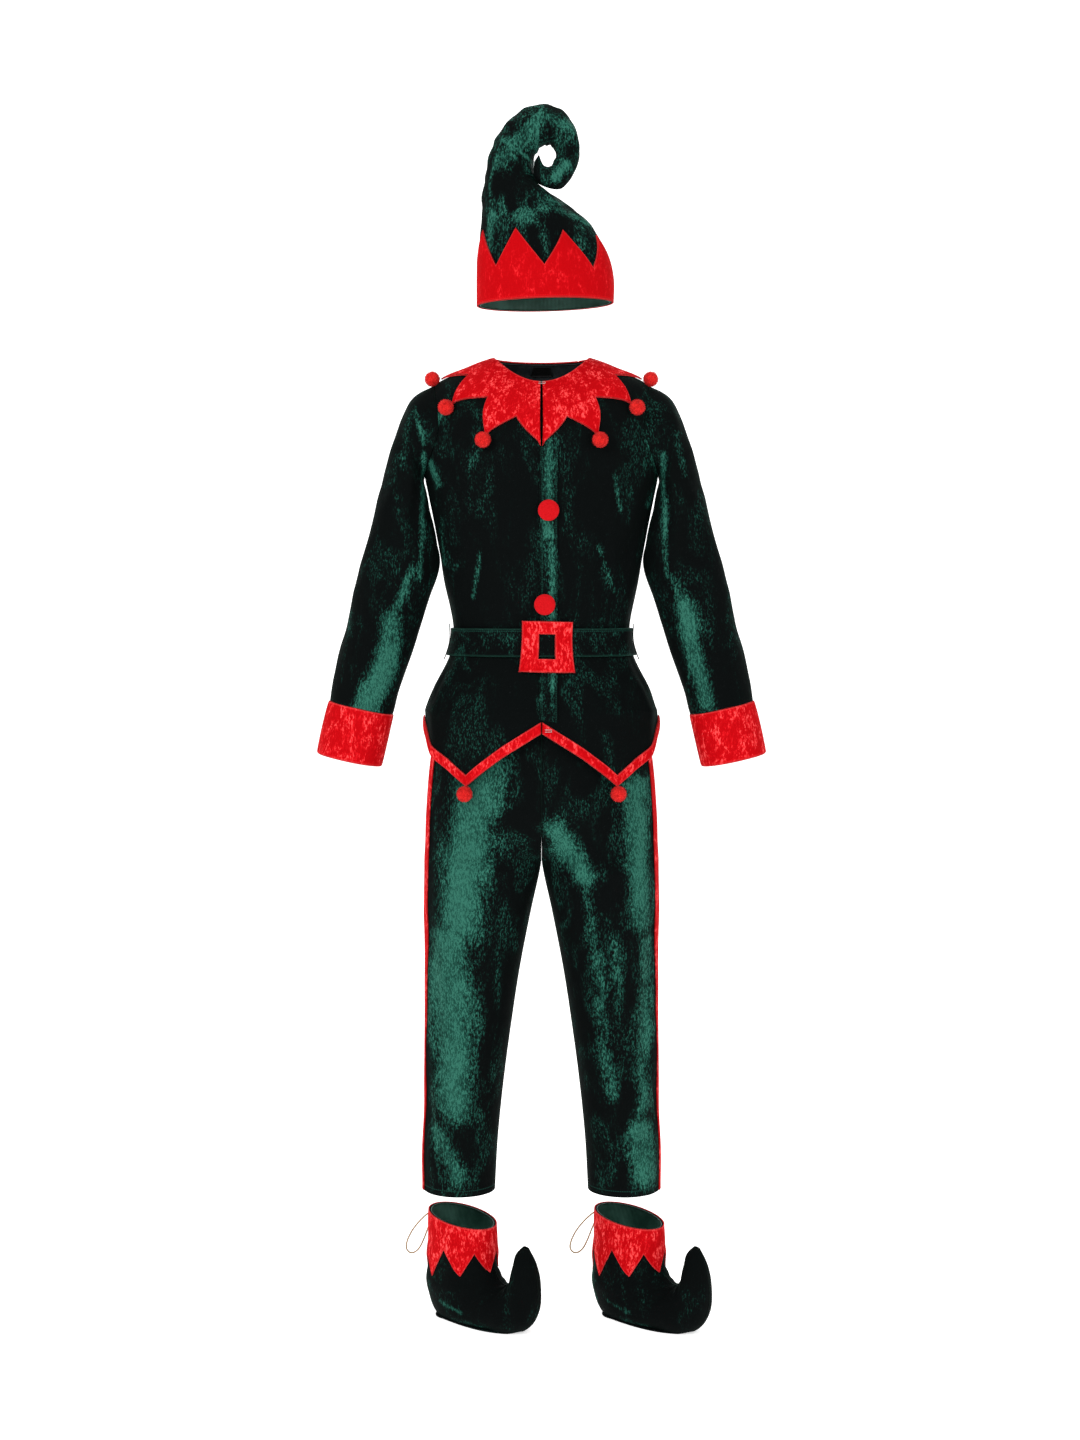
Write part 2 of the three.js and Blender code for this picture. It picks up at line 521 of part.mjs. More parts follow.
// HAT
// Rings from the brim to the tip: the outer side of the curl, its inner side, and half the depth.
const hatTable = [
  { outX: -110, outZ: 95, inX: 123, inZ: 101, deep: 80, midY: 0 },
  { outX: -110, outZ: 148, inX: 123, inZ: 144, deep: 78, midY: 0 },
  { outX: -109, outZ: 200, inX: 111, inZ: 192, deep: 73, midY: 0 },
  { outX: -105, outZ: 252, inX: 84, inZ: 238, deep: 65, midY: 0 },
  { outX: -102, outZ: 300, inX: 39, inZ: 277, deep: 54, midY: 0 },
  { outX: -94, outZ: 346, inX: -5, inZ: 307, deep: 44, midY: 0 },
  { outX: -79, outZ: 389, inX: -14, inZ: 349, deep: 38, midY: 0 },
  { outX: -48, outZ: 428, inX: -3, inZ: 370, deep: 35, midY: 0 },
  { outX: -3, outZ: 448, inX: 8, inZ: 377, deep: 33, midY: 0 },
  { outX: 42, outZ: 431, inX: 19, inZ: 373, deep: 29, midY: 0 },
  { outX: 65, outZ: 386, inX: 25, inZ: 362, deep: 25, midY: -5 },
  { outX: 61, outZ: 333, inX: 23, inZ: 349, deep: 23, midY: -13 },
  { outX: 33, outZ: 296, inX: 16, inZ: 335, deep: 21, midY: -20 },
  { outX: -10, outZ: 307, inX: 4, inZ: 335, deep: 16, midY: -26 },
  { outX: -13, outZ: 340, inX: -4, inZ: 352, deep: 6, midY: -28 },
];
const hatCreases = [
  { a0: 175, b0: 4.7, a1: 120, b1: 2.2, wideA: 10, wideB: 0.5, deep: -7 },
  { a0: 150, b0: 3.9, a1: 60, b1: 3.1, wideA: 16, wideB: 0.35, deep: -4 },
  { a0: 10, b0: 7.1, a1: 120, b1: 6.3, wideA: 20, wideB: 0.22, deep: -4 },
  { a0: 20, b0: 8.6, a1: 140, b1: 8.5, wideA: 20, wideB: 0.16, deep: -3 },
  { a0: 200, b0: 4.4, a1: 250, b1: 2.4, wideA: 12, wideB: 0.4, deep: -6 },
  { a0: 340, b0: 6.6, a1: 250, b1: 6.9, wideA: 20, wideB: 0.22, deep: -4 },
];
const hatPoint = (turn, row) => {
  const whole = ((turn % 360) + 360) % 360;
  return ringPoint(rowAt(hatTable, row), turn, creaseDepth(hatCreases, whole, row));
};
const hat = surfaceOf(hatPoint, 1);
const lastHatRow = hatTable.length - 1;
const hatSeam = (row) => (0.25 / rowAt(hatTable, row).deep) * (180 / Math.PI);
const hatColumns = 9, hatRows = 19;
for (const [name, low] of [["front", 0], ["back", 180]])
  costume.add(wall(`hat_panel_${name}`, greenVelvet, hat,
    (u, v) => {
      const row = lastHatRow * u;
      return [mix(low + hatSeam(row), low + 180 - hatSeam(row), v), row];
    },
    { rows: hatRows, columns: hatColumns }, -clothWall, 0));
const hatTeeth = 8, hatToothStart = 22, bandValley = 1.16, bandPeak = 2.42;
const hatBandLift = 2;
costume.add(wall("hat_band", redVelvet, hat, (u, v) => {
  const tooth = v * hatTeeth;
  const top = mix(bandPeak, bandValley, 1 - Math.abs(1 - 2 * (tooth - Math.floor(tooth))));
  return [hatToothStart + 360 * v, mix(-0.02, top, u)];
}, { rows: 3, columns: 4 * hatTeeth, closed: true }, hatBandLift, hatBandLift + trimWall));
const liningRows = 3;
costume.add(wall("hat_lining", greenLining, hat,
  (u, v) => [360 * v, (liningRows * lastHatRow * u) / hatRows],
  { rows: liningRows, columns: 2 * hatColumns, closed: true },
  -clothWall - seamGap - liningWall, -clothWall - seamGap));

// SHOE COVERS
// Rings from the ankle opening round the heel to the curled toe, in the shoe's own upright plane:
// the instep side, the sole side, and half the width.
const shoeTable = [
  { outX: 112, outZ: 166, inX: -18, inZ: 184, deep: 46, midY: 0 },
  { outX: 114, outZ: 130, inX: -20, inZ: 136, deep: 47, midY: 0 },
  { outX: 117, outZ: 101, inX: -23, inZ: 88, deep: 47, midY: 0 },
  { outX: 126, outZ: 85, inX: -25, inZ: 36, deep: 46, midY: 0 },
  { outX: 138, outZ: 76, inX: 8, inZ: -6, deep: 46, midY: 0 },
  { outX: 148, outZ: 73, inX: 80, inZ: -12, deep: 46, midY: 0 },
  { outX: 156, outZ: 76, inX: 150, inZ: -9, deep: 42, midY: 0 },
  { outX: 161, outZ: 89, inX: 198, inZ: 14, deep: 35, midY: 0 },
  { outX: 166, outZ: 113, inX: 215, inZ: 64, deep: 28, midY: 0 },
  { outX: 172, outZ: 136, inX: 210, inZ: 112, deep: 18, midY: 0 },
  { outX: 184, outZ: 149, inX: 196, inZ: 145, deep: 5, midY: 0 },
];
const soleThick = 3;
const soleClear = soleThick + seamGap;
const lastShoeRow = shoeTable.length - 1;
const shoePoint = (turn, row) => {
  const point = ringPoint(rowAt(shoeTable, row), turn);
  point.z = Math.max(point.z, soleClear);
  return point;
};
const shoeSurface = surfaceOf(shoePoint, 1);
// Walls stay above the sole's top face, however far they are moved out.
const shoe = (a, b, lift) => {
  const point = shoeSurface(a, b, lift);
  point.z = Math.max(point.z, soleClear - Math.min(0, lift));
  return point;
};
const shoeRows = 13, shoeColumns = 6;
const shoeTooth = { teeth: 7, start: -12, valley: 1.12, peak: 2.38 };
function shoeCover(name, x, y, yaw, floor) {
  const group = new THREE.Group();
  for (const [half, low] of [["near", 0], ["far", 180]])
    group.add(wall(`shoe_${name}_${half}_side`, greenVelvet, shoe,
      (u, v) => [mix(low + 0.4, low + 179.6, v), lastShoeRow * u],
      { rows: shoeRows, columns: shoeColumns }, -clothWall, 0));
  group.add(wall(`shoe_${name}_cuff`, redVelvet, shoe, (u, v) => {
    const tooth = v * shoeTooth.teeth;
    const foot = mix(shoeTooth.peak, shoeTooth.valley, Math.abs(1 - 2 * (tooth - Math.floor(tooth))));
    return [shoeTooth.start + 360 * v, mix(-0.03, foot, u)];
  }, { rows: 2, columns: 4 * shoeTooth.teeth, closed: true }, layGap, layGap + trimWall));
  group.add(wall(`shoe_${name}_lining`, greenLining, shoe,
    (u, v) => [360 * v, (liningRows * lastShoeRow * u) / shoeRows],
    { rows: liningRows, columns: 2 * shoeColumns, closed: true },
    -clothWall - seamGap - liningWall, -clothWall - seamGap));
  const outline = new THREE.Shape();
  outline.moveTo(30, -34);
  outline.bezierCurveTo(-12, -40, -12, 40, 30, 34);
  outline.bezierCurveTo(88, 44, 136, 42, 166, 22);
  outline.bezierCurveTo(178, 8, 178, -8, 166, -22);
  outline.bezierCurveTo(136, -42, 88, -44, 30, -34);
  const plate = new THREE.ExtrudeGeometry(outline, { depth: soleThick, bevelEnabled: false, curveSegments: 6 });
  const sole = new THREE.Mesh(plate, greenVelvet);
  sole.name = `shoe_${name}_sole`;
  group.add(sole);
  group.add(elasticLoop(`shoe_${name}_elastic_loop`));
  group.rotation.z = radians(yaw);
  group.position.set(x, y, floor);
  return group;
}

// A loop of thin elastic cord sewn to the back of the cuff, standing out behind the heel.
const elasticThick = 2.8;
const elasticRoute = [[-22, 0, 168], [-29, -3, 167], [-42, -9, 154], [-56, -14, 136], [-66, -17, 117],
  [-71, -16, 101], [-68, -12, 92], [-61, -7, 91], [-52, -2, 100], [-44, 1, 117], [-36, 2, 136],
  [-29, 2, 150], [-22.6, 3, 158]];
function elasticLoop(name) {
  const path = new THREE.CatmullRomCurve3(elasticRoute.map((point) => vector(...point)));
  const section = new THREE.Shape();
  for (let i = 0; i < 6; i++) {
    const x = (elasticThick / 2) * cosine(60 * i), y = (elasticThick / 2) * sine(60 * i);
    if (i === 0) section.moveTo(x, y);
    else section.lineTo(x, y);
  }
  section.closePath();
  const tube = new THREE.ExtrudeGeometry(section, { steps: 24, extrudePath: path });
  const mesh = new THREE.Mesh(tube, beigeElastic);
  mesh.name = name;
  return mesh;
}
const shoeYaw = -38, shoeFloor = -1678;
costume.add(shoeCover("left", -176, 46, shoeYaw, shoeFloor));
costume.add(shoeCover("right", 117, 46, shoeYaw, shoeFloor));

export default costume;
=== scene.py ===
"""An elf costume filled out as it is worn: curled hat, belted jacket, trousers and two shoe covers."""
import math

import bpy
import numpy as np
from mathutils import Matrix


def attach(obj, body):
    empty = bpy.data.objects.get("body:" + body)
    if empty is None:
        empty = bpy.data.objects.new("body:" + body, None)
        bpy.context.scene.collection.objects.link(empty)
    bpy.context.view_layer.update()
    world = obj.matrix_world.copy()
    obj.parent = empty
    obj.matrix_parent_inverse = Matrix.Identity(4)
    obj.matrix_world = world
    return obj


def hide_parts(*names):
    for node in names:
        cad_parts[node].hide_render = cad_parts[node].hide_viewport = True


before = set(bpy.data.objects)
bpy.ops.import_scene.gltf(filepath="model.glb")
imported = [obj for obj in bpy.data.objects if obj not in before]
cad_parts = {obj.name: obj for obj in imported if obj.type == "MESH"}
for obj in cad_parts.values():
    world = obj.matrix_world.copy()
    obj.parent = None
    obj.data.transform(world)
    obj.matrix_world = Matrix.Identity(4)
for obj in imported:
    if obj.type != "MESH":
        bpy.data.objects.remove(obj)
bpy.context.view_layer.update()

bl_info = {
    "name": "Elf Costume",
    "version": (1, 0, 0),
    "blender": (4, 5, 0),
    "location": "3D View > Sidebar > Costume",
    "description": "Builds a velvet elf costume: hat, jacket, trousers and shoe covers",
    "category": "Add Mesh",
}

MM = 0.001
CLOTH, TRIM, LINING, SEAM_GAP = 2.0, 1.6, 1.0, 0.4
LINING_DEPTH = CLOTH + SEAM_GAP
FLOOR_Z = -1.678
SIDES = {"left": -1, "right": 1}


# Numbers

def sine(degrees):
    """The sine of an angle in degrees."""
    return np.sin(np.radians(degrees))


def cosine(degrees):
    """The cosine of an angle in degrees."""
    return np.cos(np.radians(degrees))


def mix(a, b, share):
    """The value that lies at a share of the way from a to b."""
    return a + (b - a) * share


def table(names, *rows):
    """A table with named columns: each name maps to its column as an array."""
    return dict(zip(names.split(), np.array(rows, float).T))


def smooth_between(a, b, c, d, s):
    """A smooth curve through four neighbouring values, with s from 0 to 1 between b and c."""
    return 0.5 * (2 * b + (c - a) * s + (2 * a - 5 * b + 4 * c - d) * s**2 + (3 * b - a - 3 * c + d) * s**3)


def around(row, count):
    """The four neighbouring whole rows of each row number, and its share between the middle two."""
    base = np.clip(np.floor(row), 0, count - 2).astype(int)
    return [np.clip(base + step, 0, count - 1) for step in (-1, 0, 1, 2)], row - base


def row_at(columns, row):
    """Every column of a table at row numbers with fractions, by smooth curves through its rows."""
    near, share = around(np.asarray(row, float), len(next(iter(columns.values()))))
    return {name: smooth_between(*(column[k] for k in near), share) for name, column in columns.items()}


def troughs(creases, a, b):
    """Soft troughs: each runs from (a0, b0) to (a1, b1), deepest in its middle, a bell across."""
    depth = 0.0
    for a0, b0, a1, b1, wide_a, wide_b, deep in creases:
        da, db = (a1 - a0) / wide_a, (b1 - b0) / wide_b
        pa, pb = ((a - a0 + 180) % 360 - 180) / wide_a, (b - b0) / wide_b
        along = np.clip((pa * da + pb * db) / (da * da + db * db), 0, 1)
        off = (pa - along * da) ** 2 + (pb - along * db) ** 2
        depth = depth + deep * np.exp(-off) * np.sin(math.pi * mix(0.12, 0.88, along))
    return depth


def ripples(waves, a, b):
    """Small folds: a sum of sine waves over turn and row, each bent a little by the one before."""
    height, bend, bent_by = 0.0, 0.0, 0.7
    for per_turn, per_row, phase, high in waves:
        wave = np.sin(np.radians(per_turn * a) + per_row * b + phase + bent_by * bend)
        height, bend = height + high * wave, wave
    return height


def surface_of(point_at, turn):
    """A surface of two parameters, moved out by a lift along the cross product of its slopes."""
    def surface(a, b, lift=0.0):
        """The point at a and b, plus its unit normal times the lift."""
        a, b, lift = np.broadcast_arrays(np.asarray(a, float), np.asarray(b, float), np.asarray(lift, float))
        slope_a = point_at(a + 0.5, b) - point_at(a - 0.5, b)
        slope_b = point_at(a, b + 0.01) - point_at(a, b - 0.01)
        normal = np.cross(slope_a, slope_b)
        normal *= turn / np.maximum(np.linalg.norm(normal, axis=-1, keepdims=True), 1e-9)
        return point_at(a, b) + normal * lift[..., None]
    return surface


def folded(turn):
    """The turn from the centre front folded onto 0 to 180 degrees."""
    return np.abs((turn + 180) % 360 - 180)


def ring_point(section, turn, dent=0.0):
    """An ellipse from its outer to its inner point in the front view, grown by a dent all round."""
    half_x, half_z = (section["outX"] - section["inX"]) / 2, (section["outZ"] - section["inZ"]) / 2
    grown = 1 + dent / np.hypot(half_x, half_z)
    return np.stack([
        section["inX"] + half_x + half_x * cosine(turn) * grown,
        section["midY"] - (section["deep"] + dent) * sine(turn),
        section["inZ"] + half_z + half_z * cosine(turn) * grown,
    ], -1)


# Jacket body

TORSO = table("frontZ sideZ backZ half front back",
    (-47, 0, 0, 82, 74, 60), (-90, -17, -26, 126, 99, 92), (-130, -47, -75, 188, 114, 108),
    (-165, -118, -135, 212, 120, 110), (-208, -200, -205, 205, 121, 106), (-300, -300, -300, 184, 117, 98),
    (-385, -385, -385, 170, 107, 90), (-465, -465, -465, 154, 97, 84), (-515, -515, -515, 160, 101, 91),
    (-570, -570, -570, 187, 112, 107), (-612, -612, -612, 203, 120, 118))
ARM_ROW, ARM_HALF, ARM_TURN = 3.0, 1.04, 31.0
HEM = table("turn reach", (0, -646), (20, -690), (39, -738), (52, -712), (68, -688), (90, -640),
    (112, -688), (128, -712), (141, -738), (160, -700), (180, -665))
JACKET_CREASES = [(62, 2.3, 47, 4.4, 5, 0.4, -5), (70, 4.6, 50, 6.2, 6, 0.35, -4),
    (35, 4.9, 44, 6.4, 4, 0.5, -3), (118, 4.2, 140, 6.3, 8, 0.4, -4), (24, 8.2, 33, 11, 6, 0.6, 4),
    (62, 8, 66, 11, 7, 0.6, 4), (150, 8, 146, 11, 8, 0.6, 4)]
JACKET_RIPPLES = [(11, 1.9, 0.4, 0.5), (17, -1.3, 2.1, 0.35), (5, 3.1, 4.0, 0.6)]
HEM_ROW, LAST_TORSO = 11.0, 10


def torso_point(turn, row):
    """Sections of the torso: a sine across, a cosine deep, and a height that runs from side to front."""
    section = row_at(TORSO, np.minimum(row, LAST_TORSO))
    fold = folded(turn)
    forward, back = np.maximum(cosine(turn), 0), np.maximum(-cosine(turn), 0)
    z = section["sideZ"] + (section["frontZ"] - section["sideZ"]) * forward**2
    z = z + (section["backZ"] - section["sideZ"]) * back**2
    edge = np.interp(fold, HEM["turn"], HEM["reach"])
    z = np.where(row > LAST_TORSO, mix(z, edge, row - LAST_TORSO), z)
    dent = troughs(JACKET_CREASES, fold, row)
    calm = np.clip((row - 3.6) / 1.5, 0, 1) * np.clip((fold - 12) / 15, 0, 1)
    dent = dent + calm * ripples(JACKET_RIPPLES, turn, row)
    wide = section["half"] + dent
    deep = np.where(cosine(turn) > 0, section["front"], section["back"]) + dent
    return np.stack([wide * sine(turn), -deep * cosine(turn), z], -1)


torso = surface_of(torso_point, -1)


def torso_row(turn, z):
    """The torso's row at a height below the armholes, found by halving."""
    turn, z = np.broadcast_arrays(np.asarray(turn, float), np.asarray(z, float))
    low, high = np.full(z.shape, 4.0), np.full(z.shape, HEM_ROW)
    for _ in range(26):
        middle = (low + high) / 2
        above = torso_point(turn, middle)[..., 2] > z
        low, high = np.where(above, middle, low), np.where(above, high, middle)
    return (low + high) / 2


def arm_turn(row):
    """How far the armhole reaches from the side seam at a row: half an ellipse."""
    return ARM_TURN * np.sqrt(np.clip(1 - ((row - ARM_ROW) / ARM_HALF) ** 2, 0, 1))


# Sleeves

RING = "outX outZ inX inZ deep midY"
SLEEVE = table(RING, (228, -70, 206, -215, 62, 0), (252, -124, 201, -232, 63, -2),
    (272, -192, 196, -256, 61, -5), (293, -272, 186, -302, 59, -8), (314, -352, 178, -366, 58, -12),
    (331, -425, 205, -445, 57, -16), (351, -510, 232, -532, 55, -22), (367, -594, 258, -618, 52, -28))
CUFF = table(RING, (367, -594.3, 258, -618.3, 52.4, -28), (388, -683, 279, -707, 53, -33))
SLEEVE_CREASES = [(60, 3.2, 95, 6.2, 14, 0.5, -5), (130, 1.2, 110, 4.6, 12, 0.5, -5),
    (165, 4.6, 120, 5.7, 18, 0.3, -4), (60, 6.1, 130, 7.9, 16, 0.4, 3), (290, 3, 250, 5.4, 16, 0.5, -5),
    (230, 5, 290, 6.2, 18, 0.4, -4)]
SLEEVE_RIPPLES = [(3, 2.6, 0.3, 0.9), (5, -3.4, 1.2, 0.7), (2, 6.1, 2.6, 0.5), (7, 1.8, 0.9, 0.4)]
LAST_SLEEVE, HOLE_INSET, HOLE_LIFT = 8, 0.993, 0.6
SLEEVE_START, CUFF_START, CUFF_LIFT = 0.004, 0.012, 1.4


def sleeve_point(turn, row):
    """Rings from the armhole down the arm, joined by smooth curves from ring to ring."""
    turn = np.asarray(turn, float)
    calm = np.clip(row / 1.5, 0, 1) * np.clip((LAST_SLEEVE - row) / 0.5, 0, 1)
    dent = troughs(SLEEVE_CREASES, turn % 360, row) + calm * ripples(SLEEVE_RIPPLES, turn, row)
    hole_row = ARM_ROW - ARM_HALF * HOLE_INSET * cosine(turn)
    hole = torso(90 - ARM_TURN * HOLE_INSET * sine(turn), hole_row, HOLE_LIFT)
    rings = np.stack([hole] + [ring_point({name: column[k] for name, column in SLEEVE.items()}, turn, dent)
        for k in range(LAST_SLEEVE)])
    near, share = around(row, len(rings))
    pick = [np.take_along_axis(rings, k[None, ..., None], 0)[0] for k in near]
    return smooth_between(*pick, share[..., None])


sleeve = surface_of(sleeve_point, 1)
cuff = surface_of(lambda turn, row: ring_point(row_at(CUFF, row), turn,
    0.5 * np.sin(np.radians(5 * turn) + 4 * row)), 1)


# Trousers

TROUSER = table("z out in front back leg", (-448, 144, 0, 84, 74, 0), (-492, 147, 0, 88, 78, 0),
    (-600, 176, 0, 100, 98, 0), (-700, 193, 0, 105, 107, 0), (-790, 200, 0, 103, 110, 0.02),
    (-850, 202, 0, 98, 106, 0.4), (-888, 203, 2, 93, 100, 1), (-966, 204, 19, 87, 92, 1),
    (-1064, 202, 38, 80, 84, 1), (-1162, 202, 53, 73, 77, 1), (-1260, 204, 66, 67, 70, 1),
    (-1358, 206, 76, 62, 64, 1), (-1448, 206, 81, 59, 59, 1))
TROUSER_CREASES = [(60, 3.6, 95, 8.6, 12, 0.6, 4), (165, 5.6, 95, 7.2, 14, 0.35, -4),
    (30, 7.4, 60, 10.2, 10, 0.5, -4), (25, 10.2, 75, 11.6, 14, 0.3, -4), (120, 9.2, 75, 10.9, 14, 0.35, 3),
    (-150, 5.6, -80, 7.2, 14, 0.35, -5), (-40, 8.4, -110, 9.8, 16, 0.35, -5)]
TROUSER_RIPPLES = [(2, 2.2, 0.5, 0.7), (4, -1.6, 1.9, 0.5), (3, 4.3, 3.3, 0.5), (9, 1.1, 0.2, 0.25)]
LAST_TROUSER = 12
MIDDLE_SEAM, WAIST_END, MIDDLE_TURN, WAIST_START = 0.03, 0.9, 179.6, 5.0
STRIPE_HALF, STRIPE_LIFT, STRIPE_THICK = 12.5, 1.0, 1.2


def trouser_point(turn, row):
    """Half of the hips above the fork, where the turn is halved, and an ellipse of its own below it."""
    section = row_at(TROUSER, row)
    leg = np.clip(section["leg"], 0, 1)
    calm = np.clip(row - 1, 0, 1) * np.clip((175 - np.abs(turn)) / 30, 0, 1)
    dent = troughs(TROUSER_CREASES, turn, row) + calm * ripples(TROUSER_RIPPLES, turn, row)
    deep = np.where(turn > 0, section["front"], section["back"]) + dent
    reach = (section["out"] - section["in"]) / 2
    leg_x = section["in"] + reach + (reach + dent * np.maximum(0, cosine(turn / 2))) * cosine(turn)
    x = mix(section["out"] * cosine(turn / 2), leg_x, leg)
    y = mix(-deep * sine(turn / 2), -deep * sine(turn), leg)
    return np.stack([np.maximum(x, 0) + MIDDLE_SEAM, y, section["z"]], -1)


trouser = surface_of(trouser_point, 1)


def waist(turn, row, lift=0.0):
    """The trousers' surface all round the waist, from the right half and its mirror."""
    point = trouser(180 - 2 * folded(turn), row, lift)
    point[..., 0] *= np.where(turn > 180, -1, 1)
    return point


def outer_seam(row):
    """The outer seam's turn: forward at the hip, round to the side at the hem."""
    return mix(25, 5, np.clip((row - 2) / (LAST_TROUSER - 3), 0, 1))


# Hat

HAT = table(RING, (-110, 95, 123, 101, 80, 0), (-110, 148, 123, 144, 78, 0), (-109, 200, 111, 192, 73, 0),
    (-105, 252, 84, 238, 65, 0), (-102, 300, 39, 277, 54, 0), (-94, 346, -5, 307, 44, 0),
    (-79, 389, -14, 349, 38, 0), (-48, 428, -3, 370, 35, 0), (-3, 448, 8, 377, 33, 0),
    (42, 431, 19, 373, 29, 0), (65, 386, 25, 362, 25, -5), (61, 333, 23, 349, 23, -13),
    (33, 296, 16, 335, 21, -20), (-10, 307, 4, 335, 16, -26), (-13, 340, -4, 352, 6, -28))
HAT_CREASES = [(175, 4.7, 120, 2.2, 10, 0.5, -7), (150, 3.9, 60, 3.1, 16, 0.35, -4),
    (10, 7.1, 120, 6.3, 20, 0.22, -4), (20, 8.6, 140, 8.5, 20, 0.16, -3), (200, 4.4, 250, 2.4, 12, 0.4, -6),
    (340, 6.6, 250, 6.9, 20, 0.22, -4)]
HAT_RIPPLES = [(3, 3.7, 0.2, 0.7), (5, -5.2, 1.4, 0.6), (2, 8.3, 2.2, 0.6), (8, 2.1, 0.7, 0.3)]
LAST_HAT = 14
HAT_LINING_END = 3 * LAST_HAT / 19


def hat_point(turn, row):
    """Rings from the brim up and round the curl to the tip."""
    calm = np.clip((row - 2.2) / 1.2, 0, 1) * np.clip((13 - row) / 3, 0, 1)
    dent = troughs(HAT_CREASES, turn % 360, row) + calm * ripples(HAT_RIPPLES, turn, row)
    return ring_point(row_at(HAT, row), turn, dent)


hat = surface_of(hat_point, 1)


# Shoe covers

SHOE = table(RING, (112, 166, -18, 184, 46, 0), (114, 130, -20, 136, 47, 0), (117, 101, -23, 88, 47, 0),
    (126, 85, -25, 36, 46, 0), (138, 76, 8, -6, 46, 0), (148, 73, 80, -12, 46, 0),
    (156, 76, 150, -9, 42, 0), (161, 89, 198, 14, 35, 0), (166, 113, 215, 64, 28, 0),
    (172, 136, 210, 112, 18, 0), (184, 149, 196, 145, 5, 0))
SHOE_RIPPLES = [(3, 2.9, 0.6, 0.8), (5, -2.3, 1.1, 0.5), (2, 5.7, 0.3, 0.5)]
LAST_SHOE = 10
SHOE_LINING_END = 3 * LAST_SHOE / 13
SOLE_CLEAR = 3.4
SHOE_YAW = -38.0
SHOES = {"left": (-176, 46), "right": (117, 46)}


def shoe_point(turn, row):
    """Rings from the ankle round the heel to the curled toe, flat where they meet the sole."""
    calm = np.clip(row / 1.5, 0, 1) * np.clip((9.5 - row) / 2, 0, 1)
    point = ring_point(row_at(SHOE, row), turn, calm * ripples(SHOE_RIPPLES, turn, row))
    point[..., 2] = np.maximum(point[..., 2], SOLE_CLEAR)
    return point


shoe_surface = surface_of(shoe_point, 1)


def shoe(a, b, lift=0.0):
    """The shoe's surface, whose walls stay above the sole however far they are moved out."""
    point = shoe_surface(a, b, lift)
    point[..., 2] = np.maximum(point[..., 2], SOLE_CLEAR - np.minimum(0, lift))
    return point


def to_place(points, foot):
    """Points of a shoe cover turned to its heading and set at its place over the floor, in mm."""
    c, s = cosine(SHOE_YAW), sine(SHOE_YAW)
    x, y, z = np.moveaxis(points, -1, 0)
    at_x, at_y = SHOES[foot]
    return np.stack([c * x - s * y + at_x, s * x + c * y + at_y, z + FLOOR_Z / MM], -1)


# Lighter patches of the pile in the front view, partly the crushed nap and partly painted highlight along the
# folds: from (x, z) to (x, z), half width and strength.
PATCHES = {
    "jacket": [(-172, -96, -203, -157, 7, 0.8), (-203, -157, -178, -219, 7, 0.8),
        (184, -133, 203, -207, 7, 0.7),
        (203, -207, 184, -256, 6, 0.6), (12, -150, 12, -305, 13, 0.7), (18, -305, 18, -625, 5, 0.45),
        (-105, -342, -117, -416, 5, 0.7), (98, -330, 123, -404, 5, 0.5), (123, -207, 135, -268, 5, 0.6),
        (-172, -281, -170, -355, 5, 0.45), (-96, -150, -120, -190, 8, 0.3), (0, -560, 6, -640, 10, 0.3)],
    "sleeve": [(-203, -170, -209, -379, 6, 0.75), (-222, -367, -258, -453, 10, 0.8),
        (-258, -453, -277, -564, 20, 0.9), (-262, -502, -300, -613, 24, 1.0),
        (-225, -100, -240, -190, 8, 0.35), (209, -170, 215, -379, 6, 0.7), (222, -380, 246, -440, 10, 0.6),
        (246, -430, 283, -600, 19, 0.9), (234, -133, 246, -207, 8, 0.4),
        (-330, -440, -345, -560, 5, 0.35), (-218, -95, -203, -150, 6, 0.6)],
    "trouser": [(-111, -711, -142, -970, 46, 1.0), (-160, -1006, -148, -1290, 42, 0.95),
        (-178, -1339, -142, -1413, 24, 0.75), (18, -810, 74, -896, 20, 0.9), (160, -740, 172, -970, 27, 0.85),
        (74, -896, 123, -1265, 16, 0.5), (184, -1006, 178, -1290, 18, 0.6),
        (172, -1339, 184, -1413, 28, 0.85), (130, -1000, 132, -1250, 14, 0.4)],
    "hat": [(-74, 335, 0, 421, 18, 0.55), (0, 421, 49, 408, 16, 0.55), (-84, 248, -92, 187, 9, 0.6),
        (-37, 236, 37, 273, 14, 0.5), (25, 255, 80, 236, 9, 0.6), (43, 335, 25, 310, 10, 0.8),
        (-68, 378, -15, 341, 4, 0.8), (-6, 408, -9, 359, 4, 0.8), (66, 390, 60, 330, 10, 0.4)],
}
SHOE_PATCHES = [(-18, 90, -10, 20, 10, 0.6), (30, 34, 80, 24, 4, 0.6), (0, 60, 20, 40, 8, 0.35),
    (60, 8, 120, 6, 5, 0.45)]


def nap_and_painted_highlight(points, patches):
    """How light the pile is, partly its combed nap and partly painted highlight: the strongest of the bells
    across the patches' lines.
    """
    x, z = points[..., 0], points[..., 2]
    light = np.zeros(x.shape)
    for x0, z0, x1, z1, wide, strong in patches:
        dx, dz = x1 - x0, z1 - z0
        along = np.clip(((x - x0) * dx + (z - z0) * dz) / (dx * dx + dz * dz), 0, 1)
        off = np.hypot(x - x0 - along * dx, z - z0 - along * dz) / wide
        light = np.maximum(light, strong * np.exp(-off**2))
    return light


# Meshes

RIM_ROLL, FRONT_FADE = 0.4, 60.0
LEAST_SHEET = 0.01
MATERIALS = {}


